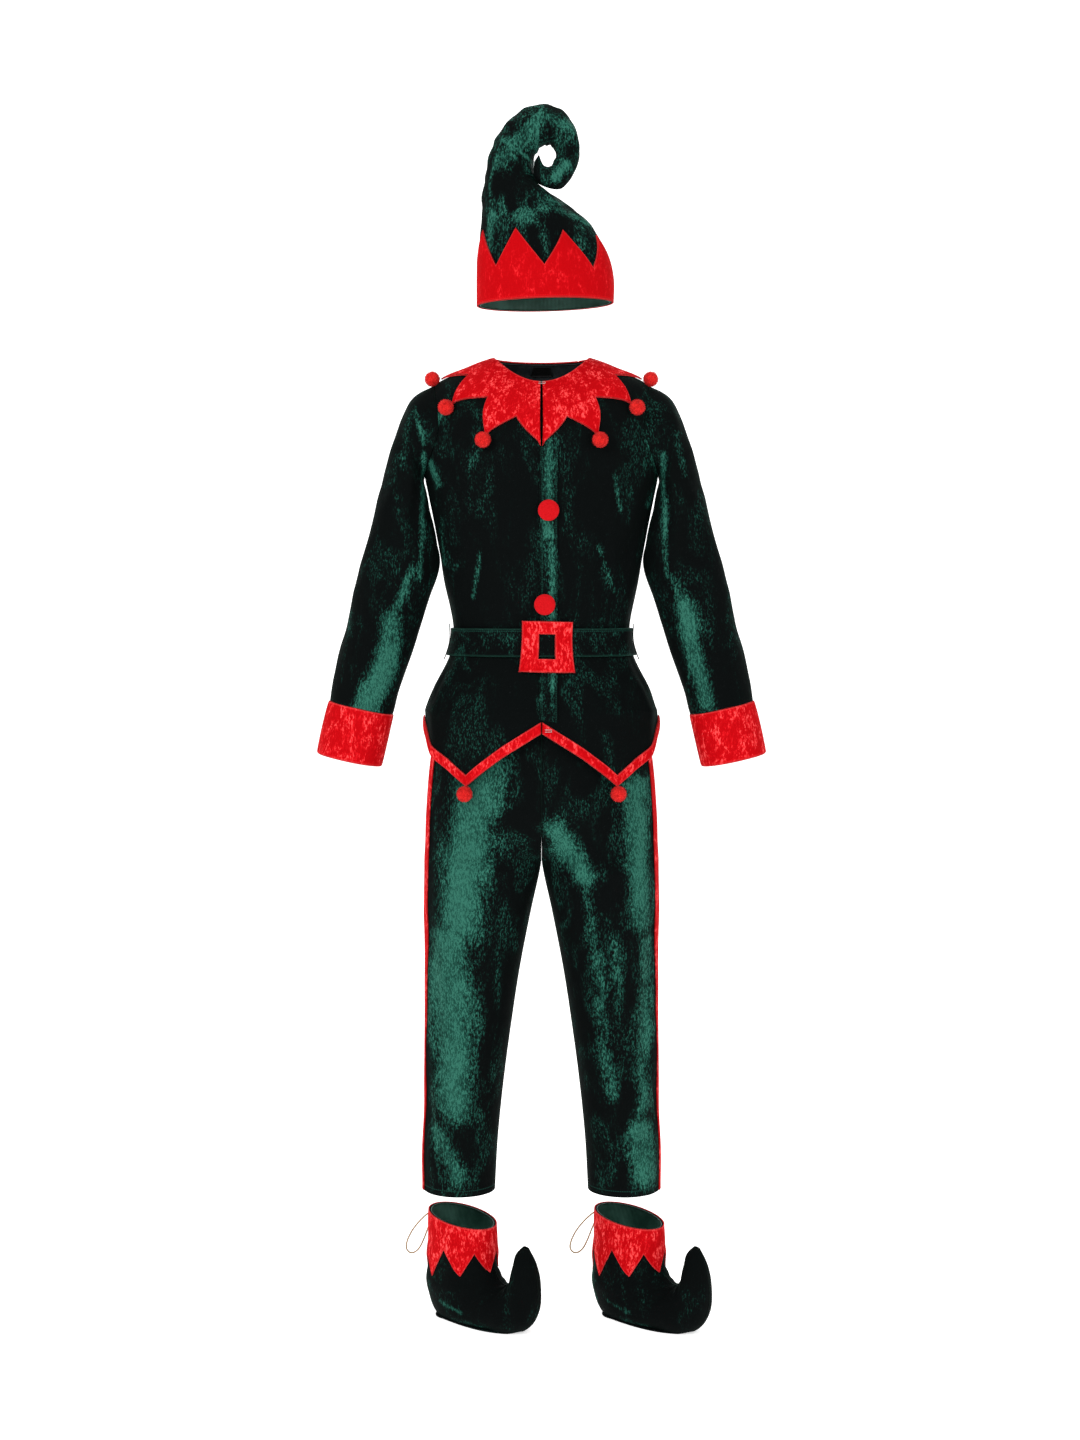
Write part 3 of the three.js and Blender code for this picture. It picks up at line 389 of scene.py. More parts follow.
def mesh_object(name, points, quads, attributes=()):
    """A smooth mesh object from points in mm, at the origin, with its place in its mesh."""
    mesh = bpy.data.meshes.new(name)
    points = np.asarray(points, float).reshape(-1, 3) * MM
    mesh.from_pydata(points.tolist(), [], quads.tolist())
    mesh.polygons.foreach_set("use_smooth", np.ones(len(mesh.polygons), bool))
    for label, values in attributes:
        mesh.attributes.new(label, "FLOAT", "POINT").data.foreach_set("value", np.ravel(values))
    mesh.update()
    piece = bpy.data.objects.new(name, mesh)
    bpy.context.collection.objects.link(piece)
    return piece


def grid_quads(rows, columns, closed):
    """The quads of a grid of rows and columns, joined round where it is closed."""
    across = columns if closed else columns + 1
    i, j = np.meshgrid(np.arange(rows), np.arange(columns), indexing="ij")
    k = (j + 1) % across
    quads = [i * across + j, (i + 1) * across + j, (i + 1) * across + k, i * across + k]
    return np.stack(quads, -1).reshape(-1, 4)


def strip_quads(first, second, closed):
    """The quads between two equal lines of point numbers."""
    a, b = (np.append(line, line[0]) if closed else line for line in (first, second))
    return np.stack([a[:-1], a[1:], b[1:], b[:-1]], -1)


def arcs(points, axis, closed=False):
    """Distances along a grid's lines in one direction, from their start."""
    if closed:
        points = np.concatenate([points, points[:, :1]], 1)
    steps = np.linalg.norm(np.diff(points, axis=axis), axis=-1)
    start = np.zeros_like(np.take(steps, [0], axis))
    return np.concatenate([start, np.cumsum(steps, axis)], axis)


def wall_mesh(out, ins, roll, closed):
    """Both skins, joined along each edge by a rim whose middle line is rolled out past the edge.

    Gives the points, the quads, and the outer points that each rim's middle line follows.
    """
    count, across = out.shape[:2]
    number = np.arange(count * across).reshape(count, across)
    far = number + count * across
    edges = [(number[0], number[1], far[0]), (number[-1][::-1], number[-2][::-1], far[-1][::-1])]
    if not closed:
        edges += [(number[:, 0][::-1], number[:, 1][::-1], far[:, 0][::-1]),
            (number[:, -1], number[:, -2], far[:, -1])]
    flat = np.concatenate([out.reshape(-1, 3), ins.reshape(-1, 3)])
    skin = grid_quads(count - 1, across if closed else across - 1, closed)
    quads, lines, start = [skin[:, ::-1], skin + count * across], [flat], len(flat)
    for edge, inside, under in edges:
        away = flat[edge] - flat[inside]
        away /= np.maximum(np.linalg.norm(away, axis=1, keepdims=True), 1e-6)
        lines.append((flat[edge] + flat[under]) / 2 + away * roll)
        middle = np.arange(start, start + len(edge))
        start += len(edge)
        quads += [strip_quads(edge, middle, closed), strip_quads(middle, under, closed)]
    return np.concatenate(lines), np.concatenate(quads), [edge for edge, _, _ in edges]


def pile_fields(out, nap_and_highlight, closed, edges):
    """The wall's attributes: the pile's lightness, partly combed nap and partly painted highlight, and
    distances in metres from the edges.

    Down and over start at the first row and column, up at the last row, and side at the nearer column.
    """
    down, over = arcs(out, 0), arcs(out, 1, closed)
    wide, long = over[:, -1].max() * MM, down[-1].max() * MM
    down, over = down * MM, over[:, :out.shape[1]] * MM
    fields = {"nap_and_highlight": nap_and_highlight, "down": down, "up": down[-1] - down, "over": over,
        "side": np.minimum(over, wide - over)}
    attributes = []
    for label, field in fields.items():
        both = np.concatenate([field.ravel(), field.ravel()])
        attributes.append((label, np.concatenate([both] + [both[edge] for edge in edges])))
    return attributes, (wide, long)


def cloth_wall(name, surface, place, rows, columns, inner, outer, finish, *, closed=False, side=1,
        patches=(), light=0.0, foot=None, puff=None):
    """A wall over part of a surface, between an inner and an outer lift from it.

    Rows is a count or their own values from 0 to 1. Puff adds its first number times a power of a half
    wave, from the first row to the last, to the outer lift.
    """
    u = np.asarray(rows) if np.ndim(rows) else np.linspace(0, 1, rows + 1)
    v = np.linspace(0, 1, columns + 1)[: columns if closed else None]
    a, b = place(*np.meshgrid(u, v, indexing="ij"))
    rise = puff[0] * np.sin(math.pi * u[:, None]) ** puff[1] if puff else 0.0
    base, out, ins = surface(a, b), surface(a, b, outer + rise), surface(a, b, inner)
    for skin in (base, out, ins):
        skin[..., 0] *= side
    if foot:
        out, ins = to_place(out, foot), to_place(ins, foot)
    # The pile's attribute: the patches' painted highlight, kept to the side that faces the camera except on
    # shoe covers, plus an even share, light, all over.
    front = 1.0 if foot else np.clip(0.5 - out[..., 1] / FRONT_FADE, 0, 1)
    nap_and_highlight = nap_and_painted_highlight(base, patches) * front + light
    points, quads, edges = wall_mesh(out, ins, (outer - inner) * RIM_ROLL, closed)
    attributes, flat_size = pile_fields(out, nap_and_highlight, closed, edges)
    piece = mesh_object(f"{name}_cloth", points, quads, attributes)
    dress(piece, name, finish)
    if min(flat_size) > LEAST_SHEET:
        area = np.linalg.norm(np.cross(*grid_sides(out, closed)), axis=-1).sum() * MM**2


def grid_sides(points, closed):
    """The two sides of each cell of a grid: across and down."""
    if closed:
        points = np.concatenate([points, points[:, :1]], 1)
    return points[:-1, 1:] - points[:-1, :-1], points[1:, :-1] - points[:-1, :-1]


def outward(piece):
    """Turns a closed piece's faces outwards if its volume comes out negative."""
    mesh = piece.data
    mesh.calc_loop_triangles()
    corners = np.empty(len(mesh.loop_triangles) * 3, int)
    mesh.loop_triangles.foreach_get("vertices", corners)
    points = np.empty(len(mesh.vertices) * 3)
    mesh.vertices.foreach_get("co", points)
    a, b, c = np.moveaxis(points.reshape(-1, 3)[corners.reshape(-1, 3)], 1, 0)
    if (a * np.cross(b, c)).sum() < 0:
        mesh.flip_normals()


def dress(piece, node, finish):
    """Turns a piece outwards, gives it its finish and body, and hides the CAD node it stands for."""
    if piece.type == "MESH":
        outward(piece)
    piece.data.materials.append(MATERIALS[finish])
    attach(piece, "root")
    if node:
        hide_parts(node)


# Materials

def shader_group(name, inputs, outputs):
    """An empty shader node group with named sockets: (name, kind, default) in, (name, kind) out."""
    group = bpy.data.node_groups.new(name, "ShaderNodeTree")
    for label, kind, default in inputs:
        socket = group.interface.new_socket(label, in_out="INPUT", socket_type=kind)
        if default is not None:
            socket.default_value = default
    for label, kind in outputs:
        group.interface.new_socket(label, in_out="OUTPUT", socket_type=kind)
    return group


class Wiring:
    """Short ways to add and join the nodes of one tree."""

    def __init__(self, tree):
        self.tree = tree
        self.x = -1400

    def add(self, kind, values=None, **settings):
        """A node with its settings, and with values or sockets fed to its inputs."""
        node = self.tree.nodes.new(kind)
        node.location = (self.x, 0)
        self.x += 60
        for key, value in settings.items():
            setattr(node, key, value)
        for key, value in (values or {}).items():
            self.feed(node.inputs[key], value)
        return node

    def feed(self, socket, value):
        """Joins a socket to another one, or sets its constant."""
        if isinstance(value, bpy.types.NodeSocket):
            self.tree.links.new(value, socket)
        else:
            socket.default_value = value

    def math(self, operation, a, b=0.0, clamp=False):
        """One sum on two values or sockets."""
        return self.add("ShaderNodeMath", {0: a, 1: b}, operation=operation, use_clamp=clamp).outputs[0]

    def ramp(self, value, low, high, bottom=0.0, top=1.0):
        """A smooth step from bottom to top as the value goes from low to high."""
        node = self.add("ShaderNodeMapRange", {0: value, 1: low, 2: high, 3: bottom, 4: top})
        node.interpolation_type = "SMOOTHSTEP"
        return node.outputs[0]

    def blend(self, share, a, b):
        """The colour at a share of the way from a to b."""
        node = self.add("ShaderNodeMix", data_type="RGBA")
        for socket, value in ((0, share), (6, a), (7, b)):
            plain = isinstance(value, bpy.types.NodeSocket) or np.isscalar(value)
            self.feed(node.inputs[socket], value if plain else (*value[:3], 1))
        return node.outputs[2]

    def noise(self, where, scale, detail=3.0, rough=0.55, twist=0.0):
        """Fractal noise at a place, bent by its twist."""
        return self.add("ShaderNodeTexNoise", {"Vector": where, "Scale": scale, "Detail": detail,
            "Roughness": rough, "Distortion": twist}).outputs["Fac"]

    def place(self):
        """The place on the piece, in its own metres."""
        return self.add("ShaderNodeTexCoord").outputs["Object"]

    def stretched(self, where, size):
        """A place with each axis scaled."""
        return self.add("ShaderNodeMapping", {"Vector": where, "Scale": size}).outputs["Vector"]

    def attribute(self, name):
        """A number that the mesh holds at each of its points."""
        return self.add("ShaderNodeAttribute", attribute_name=name).outputs["Fac"]

    def outputs(self, **values):
        """Joins values to the tree's own outputs."""
        end = self.add("NodeGroupOutput")
        for label, value in values.items():
            self.tree.links.new(value, end.inputs[label.replace("_", " ")])


def crushed_pile_group():
    """Crushed pile: broad patches, short flecks down the cloth and fine grain, from stretched noise."""
    group = shader_group("Crushed Pile",
        [("Position", "NodeSocketVector", None), ("Patch Scale", "NodeSocketFloat", 22.0),
            ("Fleck Scale", "NodeSocketFloat", 120.0)],
        [("Patches", "NodeSocketFloat"), ("Flecks", "NodeSocketFloat"), ("Grain", "NodeSocketFloat"),
            ("Height", "NodeSocketFloat")])
    w = Wiring(group)
    given = w.add("NodeGroupInput").outputs
    patches = w.noise(w.stretched(given["Position"], (1, 1, 0.45)), given["Patch Scale"], 4, 0.6, 0.8)
    flecks = w.noise(w.stretched(given["Position"], (1, 1, 0.4)), given["Fleck Scale"], 4, 0.65, 0.5)
    grain = w.noise(given["Position"], 900.0, 2, 0.6)
    height = w.math("ADD", w.math("MULTIPLY", flecks, 0.7), w.math("MULTIPLY", grain, 0.3))
    w.outputs(Patches=w.ramp(patches, 0.38, 0.66), Flecks=w.ramp(flecks, 0.40, 0.66),
        Grain=grain, Height=height)
    return group


def stitch_group():
    """A row of stitches at a distance from an edge: a thin band across, dashed along."""
    group = shader_group("Stitch Row",
        [("Across", "NodeSocketFloat", 0.0), ("Along", "NodeSocketFloat", 0.0),
            ("Distance", "NodeSocketFloat", 0.006), ("Width", "NodeSocketFloat", 0.0007),
            ("Stitch Length", "NodeSocketFloat", 0.004)],
        [("Stitches", "NodeSocketFloat"), ("Furrow", "NodeSocketFloat")])
    w = Wiring(group)
    given = w.add("NodeGroupInput").outputs
    off = w.math("ABSOLUTE", w.math("SUBTRACT", given["Across"], given["Distance"]))
    line = w.math("LESS_THAN", off, given["Width"])
    dash = w.math("FRACT", w.math("DIVIDE", given["Along"], given["Stitch Length"]))
    stitches = w.math("MULTIPLY", line, w.math("LESS_THAN", dash, 0.72))
    w.outputs(Stitches=stitches, Furrow=w.ramp(off, 0.0, 0.003, 1.0, 0.0))
    return group


def new_material(name):
    """A material with a Principled BSDF, and short ways to add nodes to it."""
    material = bpy.data.materials.new(name)
    material.use_nodes = True
    wiring = Wiring(material.node_tree)
    return material, wiring, material.node_tree.nodes["Principled BSDF"]


def connect(wiring, shader, color, rough=None, height=None, bump=0.3, depth=0.001, **constants):
    """Feeds a shader's colour, roughness and bump, and sets its constant sockets."""
    if height is not None:
        node = wiring.add("ShaderNodeBump", {"Strength": bump, "Distance": depth, "Height": height})
        wiring.feed(shader.inputs["Normal"], node.outputs[0])
    if rough is not None:
        wiring.feed(shader.inputs["Roughness"], rough)
    wiring.feed(shader.inputs["Base Color"], color)
    for label, value in constants.items():
        wiring.feed(shader.inputs[label.replace("_", " ")], value)


def velvet(name, pile, stitch, dark, middle, light, tint, shade, *, hem=None, painted_edge_highlight=0.0,
        fleck=420.0, patch=22.0, gain=1.0):
    """Crushed velvet: dark pile, lighter where the pile's attribute of combed nap and painted highlight and
    the crush patches meet.

    Hem names the attributes across and along a row of stitches, and its distance from the edge.
    """
    material, w, shader = new_material(name)
    crush = w.add("ShaderNodeGroup", node_tree=pile)
    for label, value in {"Position": w.place(), "Patch Scale": patch, "Fleck Scale": fleck}.items():
        w.feed(crush.inputs[label], value)
    patches, flecks = crush.outputs["Patches"], crush.outputs["Flecks"]
    # Painted highlight comes in through the pile's attribute; the crush patches and flecks are the velvet's
    # random tones.
    nap_and_highlight = w.attribute("nap_and_highlight")
    torn = w.math("ADD", w.math("MULTIPLY", patches, 0.4), w.math("MULTIPLY", flecks, 0.5))
    reach = w.math("ADD", w.math("MULTIPLY", nap_and_highlight, 1.15), w.math("SUBTRACT", torn, 0.5))
    broken = w.math("MULTIPLY", w.ramp(reach, 0.05, 1.0), w.math("ADD", 0.6, w.math("MULTIPLY", flecks, 0.4)))
    loose = w.math("MULTIPLY", w.math("MULTIPLY", patches, flecks), shade)
    lit = w.math("ADD", w.math("MULTIPLY", broken, gain), loose)
    lit = w.math("MULTIPLY", lit, w.ramp(crush.outputs["Grain"], 0.3, 0.7, 0.75, 1.2), clamp=True)
    color = w.blend(w.ramp(lit, 0.0, 0.45), dark, middle)
    color = w.blend(w.ramp(lit, 0.4, 1.0), color, light)
    height = crush.outputs["Height"]
    # Painted highlight along the first and last rows, where a rolled edge would catch the light.
    if painted_edge_highlight:
        near = w.math("MINIMUM", w.attribute("up"), w.attribute("down"))
        edge_highlight_share = w.math("MULTIPLY", w.ramp(near, 0.0, 0.0035, 1.0, 0.0), painted_edge_highlight)
        color = w.blend(edge_highlight_share, color, light)
    if hem:
        edge, along, distance = hem
        row = w.add("ShaderNodeGroup", node_tree=stitch)
        for label, value in {"Across": w.attribute(edge), "Along": w.attribute(along),
                "Distance": distance}.items():
            w.feed(row.inputs[label], value)
        # Painted shade along the stitched furrow, which the bump below also sinks.
        color = w.blend(w.math("MULTIPLY", row.outputs["Furrow"], 0.45), color, dark)
        color = w.blend(w.math("MULTIPLY", row.outputs["Stitches"], 0.7), color, middle)
        height = w.math("SUBTRACT", height, w.math("MULTIPLY", row.outputs["Furrow"], 0.8))
    rough = w.ramp(lit, 0.0, 1.0, 0.85, 0.55)
    connect(w, shader, color, rough, height, 0.35, 0.0012, Specular_IOR_Level=0.03,
        Sheen_Weight=0.02, Sheen_Roughness=0.35, Sheen_Tint=(*tint, 1))
    return material


SATIN = {"cloud": 30.0, "shown": 0.22, "tones": (0.25, 0.85), "rough": (0.35, 0.55), "bump": (0.3, 0.0006),
    "shine": 0.4}
TWILL = {"cloud": 60.0, "shown": 0.18, "tones": (0.3, 0.8), "rough": (0.6, 0.8), "bump": (0.25, 0.0005),
    "shine": 0.2, "slanting": True}


def ribbed(name, base, light, ribs, cloud, shown, tones, rough, bump, shine, slanting=False):
    """Ribbed satin or twill: a sine of the cloth's own lengths, over slow clouds of noise."""
    material, w, shader = new_material(name)
    way = w.attribute("over")
    if slanting:
        way = w.math("ADD", way, w.attribute("down"))
    rib = w.math("SINE", w.math("MULTIPLY", way, ribs))
    soft = w.noise(w.place(), cloud, 3)
    share = w.math("ADD", w.math("MULTIPLY", rib, shown), soft, clamp=True)
    connect(w, shader, w.blend(w.ramp(share, *tones), base, light), w.ramp(soft, 0.3, 0.7, *rough), rib,
        *bump, Specular_IOR_Level=shine)
    return material


def fuzzy(name, dark, light, scale, depth=0.001):
    """Yarn or felt: matted fibres from fine noise, darker in the hollows of their bump: partly random fibre
    tone, partly painted shade.
    """
    material, w, shader = new_material(name)
    place = w.place()
    fibres = w.noise(place, scale, 4, 0.7, 1.2)
    tufts = w.noise(place, scale * 0.25, 3, 0.6, 0.4)
    # Dark where the fibre noise is low, in the bump's hollows: partly random fibre tone, partly painted
    # shade.
    share = w.math("MULTIPLY", w.ramp(fibres, 0.3, 0.65), w.ramp(tufts, 0.2, 0.6))
    connect(w, shader, w.blend(share, dark, light), w.ramp(fibres, 0.3, 0.7, 0.95, 0.8), fibres, 0.6, depth,
        Specular_IOR_Level=0.04, Sheen_Weight=0.05, Sheen_Roughness=0.5)
    return material


def make_materials():
    """Every finish of the costume, from the colours in the panel."""
    c = bpy.context.scene.costume_colours
    groups = {"pile": crushed_pile_group(), "stitch": stitch_group()}
    green = {**groups, "dark": c.green_dark, "middle": c.green_middle, "light": c.green_light,
        "tint": (0.3, 0.8, 0.6)}
    red = {**groups, "dark": c.red_dark, "middle": c.red_middle, "light": c.red_light,
        "tint": (1.0, 0.35, 0.3), "fleck": 300.0, "patch": 60.0}
    MATERIALS.update(
        green=velvet("Green crushed velvet", **green, shade=0.16),
        green_hem=velvet("Green velvet, stitched hem", **green, shade=0.22, hem=("up", "over", 0.01)),
        green_band=velvet("Green velvet, front band", **green, shade=0.3, hem=("side", "down", 0.003)),
        green_belt=velvet("Green velvet, belt", **green, shade=0.1, hem=("down", "over", 0.004),
            painted_edge_highlight=0.2),
        green_hat=velvet("Green velvet, hat", **green, shade=0.5, patch=34.0),
        green_shoe=velvet("Green velvet, shoe covers", **green, shade=0.04, gain=0.7),
        red_plain=velvet("Red velvet, hat band", **red, shade=0.3, painted_edge_highlight=0.3, gain=0.5,
            hem=("down", "over", 0.004)),
        red_trim=velvet("Red velvet, trim", **red, shade=0.75, painted_edge_highlight=0.4, hem=("up", "over", 0.003)),
        lining=ribbed("Green satin lining", c.lining_dark, c.lining_light, 2600.0, **SATIN),
        facing=ribbed("Dark twill facing", (0.022, 0.028, 0.032), (0.06, 0.07, 0.075), 2800.0, **TWILL),
        label=ribbed("Black woven label", (0.004, 0.004, 0.004), (0.012, 0.012, 0.012), 4400.0, **TWILL),
        yarn=fuzzy("Red pompom yarn", (0.34, 0.003, 0.004), (0.80, 0.026, 0.022), 520.0, 0.0015),
        felt=fuzzy("Red felt", (0.38, 0.002, 0.004), (0.52, 0.006, 0.010), 1300.0, 0.0005),
        elastic=fuzzy("Beige elastic", (0.22, 0.14, 0.07), (0.44, 0.32, 0.19), 2400.0, 0.0003),
        metal=plain_metal(),
    )


def plain_metal():
    """Dull nickel of the hooks, with faint rubbed patches."""
    material, w, shader = new_material("Nickel hook")
    rub = w.noise(w.place(), 700.0, 3)
    color = w.blend(w.ramp(rub, 0.3, 0.7), (0.32, 0.31, 0.29), (0.62, 0.61, 0.58))
    connect(w, shader, color, w.ramp(rub, 0.3, 0.7, 0.3, 0.45), rub, 0.1, 0.0002, Metallic=1.0)
    return material


# Values that a user may change

def tone(name, value, words):
    """A colour property with its default."""
    return bpy.props.FloatVectorProperty(name=name, description=words, subtype="COLOR", size=3,
        default=value, min=0.0, max=1.0)


def length(name, value, words):
    """A length property in metres with its default."""
    return bpy.props.FloatProperty(name=name, description=words, default=value, min=0.0005, max=0.2,
        unit="LENGTH")


class CostumeColours(bpy.types.PropertyGroup):
    """Colours of the velvets and linings."""

    # The dark, half-lit and lit tones of each velvet are partly the pile's own crushed tones and partly
    # painted shade and painted highlight.
    green_dark: tone("Green, pile away", (0.0016, 0.0024, 0.0024), "Velvet where the pile turns away")
    green_middle: tone("Green, half lit", (0.007, 0.045, 0.033), "Velvet where the pile is half lit")
    green_light: tone("Green, lit", (0.026, 0.128, 0.092), "Velvet where the pile catches the light")
    red_dark: tone("Red, pile away", (0.40, 0.001, 0.003), "Trim where the pile turns away")
    red_middle: tone("Red, half lit", (0.58, 0.005, 0.009), "Trim where the pile is half lit")
    red_light: tone("Red, lit", (0.78, 0.06, 0.06), "Trim where the pile catches the light")
    lining_dark: tone("Lining, dark", (0.008, 0.035, 0.024), "Lining in its folds")
    lining_light: tone("Lining, light", (0.04, 0.12, 0.09), "Lining where it shines")


class CostumeSizes(bpy.types.PropertyGroup):
    """Sizes of the costume's small pieces."""

    pompom_radius: length("Pompom radius", 0.0125, "Radius of a pompom's packed yarn")
    pompom_fuzz: length("Pompom fuzz", 0.0022, "How far the yarn ends stand out of a pompom")
    button_radius: length("Button radius", 0.018, "Radius of a covered button")
    elastic_diameter: length("Elastic diameter", 0.0028, "Diameter of the shoe covers' elastic loops")


# Camera, lights and cords

CAMERA_AT = (-0.0026, -3.5, -0.42)
CAMERA_AIM = (-0.0026, 0.0, -0.42)
LENS, LOWERED = 50.0, -0.0833
LAMPS = [("Key", (-2.2, -3.2, 1.2), (0, 0, -0.6), 1.6, 95), ("Fill", (2.6, -2.6, 0.2), (0, 0, -0.7), 2.2, 40),
    ("Top", (0, 0.6, 2.6), (0, 0, -0.3), 2.0, 40), ("Back", (0.5, 3.0, 0.8), (0, 0, -0.7), 2.5, 30)]


def aimed(obj, at, aim):
    """Puts an object at a point and turns its -Z axis to another."""
    obj.location = at
    way = np.subtract(aim, at)
    flat = math.hypot(way[0], way[1])
    obj.rotation_euler = (math.atan2(flat, -way[2]), 0, math.atan2(-way[0], way[1]))
    bpy.context.collection.objects.link(obj)


class COSTUME_OT_stage(bpy.types.Operator):
    """Sets the camera, soft lights and a pale floor that curves up behind."""

    bl_idname = "costume.stage"
    bl_label = "Stage, camera and lights"

    def execute(self, context):
        scene = context.scene
        camera = bpy.data.objects.new("Camera", bpy.data.cameras.new("Camera"))
        camera.data.lens = LENS
        camera.data.sensor_width = 36
        camera.data.shift_y = LOWERED
        aimed(camera, CAMERA_AT, CAMERA_AIM)
        scene.camera = camera
        for name, at, aim, size, power in LAMPS:
            lamp = bpy.data.lights.new(name, "AREA")
            lamp.size, lamp.energy = size, power
            aimed(bpy.data.objects.new(name, lamp), at, aim)
        world = bpy.data.worlds.new("Studio")
        scene.world = world
        world.use_nodes = True
        world.node_tree.nodes["Background"].inputs["Color"].default_value = (1, 1, 1, 1)
        world.node_tree.nodes["Background"].inputs["Strength"].default_value = 0.6
        scene.view_settings.view_transform = "Standard"
        self.backdrop()
        return {"FINISHED"}

    def backdrop(self):
        """A flat floor to 3 m behind that sweeps up a quarter circle into a wall."""
        run = np.concatenate([np.stack([np.linspace(-9, 3, 8), np.full(8, 0.0)], -1),
            np.stack([3 + 2 * np.sin(np.linspace(0.1, math.pi / 2, 12)),
                2 - 2 * np.cos(np.linspace(0.1, math.pi / 2, 12))], -1), [[5.0, 9.0]]])
        across = np.linspace(-12, 12, 9)
        y, x = np.meshgrid(run[:, 0], across, indexing="ij")
        z = np.broadcast_to(run[:, 1:2], y.shape) + FLOOR_Z
        points = np.stack([x, y, z], -1) / MM
        piece = mesh_object("Backdrop", points, grid_quads(len(run) - 1, len(across) - 1, False)[:, ::-1])
        material, w, shader = new_material("Pale paper")
        grain = w.noise(w.place(), 3.0, 2)
        connect(w, shader, w.blend(grain, (0.9, 0.9, 0.9), (0.94, 0.94, 0.94)), Roughness=0.9,
            Emission_Color=(1, 1, 1, 1), Emission_Strength=0.55)
        piece.data.materials.append(material)


ELASTIC = [(-22, 0, 168), (-29, -3, 167), (-42, -9, 154), (-56, -14, 136), (-66, -17, 117),
    (-71, -16, 101), (-68, -12, 92), (-61, -7, 91), (-52, -2, 100), (-44, 1, 117), (-36, 2, 136),
    (-29, 2, 150), (-22.6, 3, 158)]


class COSTUME_OT_elastic_loops(bpy.types.Operator):
    """Adds the thin elastic loop at the back of each shoe cover."""

    bl_idname = "costume.elastic_loops"
    bl_label = "Elastic loops"

    def execute(self, context):
        diameter = context.scene.costume_sizes.elastic_diameter
        near, share = around(np.linspace(0, len(ELASTIC) - 1, 61), len(ELASTIC))
        route = np.array(ELASTIC, float)
        smooth = smooth_between(*(route[k] for k in near), share[:, None])
        for foot in SHOES:
            line = to_place(smooth, foot) * MM
            curve = bpy.data.curves.new(f"Elastic loop {foot}", "CURVE")
            curve.dimensions = "3D"
            curve.bevel_depth = diameter / 2
            curve.bevel_resolution = 3
            curve.use_fill_caps = True
            spline = curve.splines.new("POLY")
            spline.points.add(len(line) - 1)
            spline.points.foreach_set("co", np.concatenate([line, np.ones((len(line), 1))], 1).ravel())
            piece = bpy.data.objects.new(f"elastic_loop_{foot}", curve)
            context.collection.objects.link(piece)
            dress(piece, f"shoe_{foot}_elastic_loop", "elastic")
        return {"FINISHED"}


# Places on a surface for u down and v across, both from 0 to 1

def all_round(first, last):
    """All round a ring surface, between two of its rows."""
    return lambda u, v: (360 * v, mix(first, last, u))


def zigzag(teeth, start, edge, at_start, between_them):
    """All round from an edge row to a row that runs straight to and fro between two values."""
    def place(u, v):
        """The far row is mixed by how far v is from the middle of its tooth."""
        end = mix(at_start, between_them, np.abs(1 - 2 * ((v * teeth) % 1)))
        return start + 360 * v, mix(edge, end, u)
    return place


# Jacket

def panel_rows():
    """Rows of the torso panels from 0 to 1: closer together where the armhole begins and ends."""
    hole = ARM_ROW - ARM_HALF * np.cos(np.linspace(0, math.pi, 56))
    return np.unique(np.concatenate([np.linspace(0, hole[0], 36), hole, np.linspace(hole[-1], 10, 90),
        np.linspace(10, HEM_ROW, 24)])) / HEM_ROW


def corner_shares(turns):
    """Turns v into a share of the way from the first turn to the last, with equal steps between turns."""
    shares = (np.array(turns, float) - turns[0]) / (turns[-1] - turns[0])
    return lambda v: np.interp(v, np.linspace(0, 1, len(turns)), shares)


def between(low, high, corners):
    """Places across a panel from one edge to the other, evenly between the hem's corner turns."""
    share_at = corner_shares(corners)

    def place(u, v):
        """The turn is mixed between the two edges by the corners' own shares."""
        row = u * HEM_ROW
        return mix(low(row) + PANEL_GAP, high(row) - PANEL_GAP, share_at(v)), row
    return place


PANEL_GAP, FACING_ROWS = 0.14, 1.5
LABEL_DEPTH, LABEL_THICK = LINING_DEPTH + LINING + 1.2, 0.8
FRONT_TURNS = [0, 10, 20, 30, 39, 52, 68, 79, 90]
BACK_TURNS = [90, 101, 112, 128, 141, 160, 180, 200, 219, 232, 248, 259, 270]


class COSTUME_OT_jacket_body(bpy.types.Operator):
    """Adds the jacket's two fronts, back, neck facing and plain label."""

    bl_idname = "costume.jacket_body"
    bl_label = "Jacket body"

    def execute(self, context):
        rows, patches = panel_rows(), PATCHES["jacket"]
        front = between(lambda row: 0 * row, lambda row: 90 - arm_turn(row), FRONT_TURNS)
        for name, side in SIDES.items():
            cloth_wall(f"jacket_front_{name}", torso, front, rows, 64, -CLOTH, 0, "green", side=side,
                patches=patches)
        back = between(lambda row: 90 + arm_turn(row), lambda row: 270 - arm_turn(row), BACK_TURNS)
        cloth_wall("jacket_back", torso, back, rows, 96, -CLOTH, 0, "green", patches=patches, light=0.1)
        cloth_wall("back_neck_facing", torso,
            lambda u, v: (mix(90 + PANEL_GAP, 270 - PANEL_GAP, v), FACING_ROWS * u), 12, 96,
            -LINING_DEPTH - LINING, -LINING_DEPTH, "facing")
        cloth_wall("neck_label", torso, lambda u, v: (mix(170, 190, v), mix(0.12, 0.72, u)), 8, 16,
            -LABEL_DEPTH - LABEL_THICK, -LABEL_DEPTH, "label")
        return {"FINISHED"}


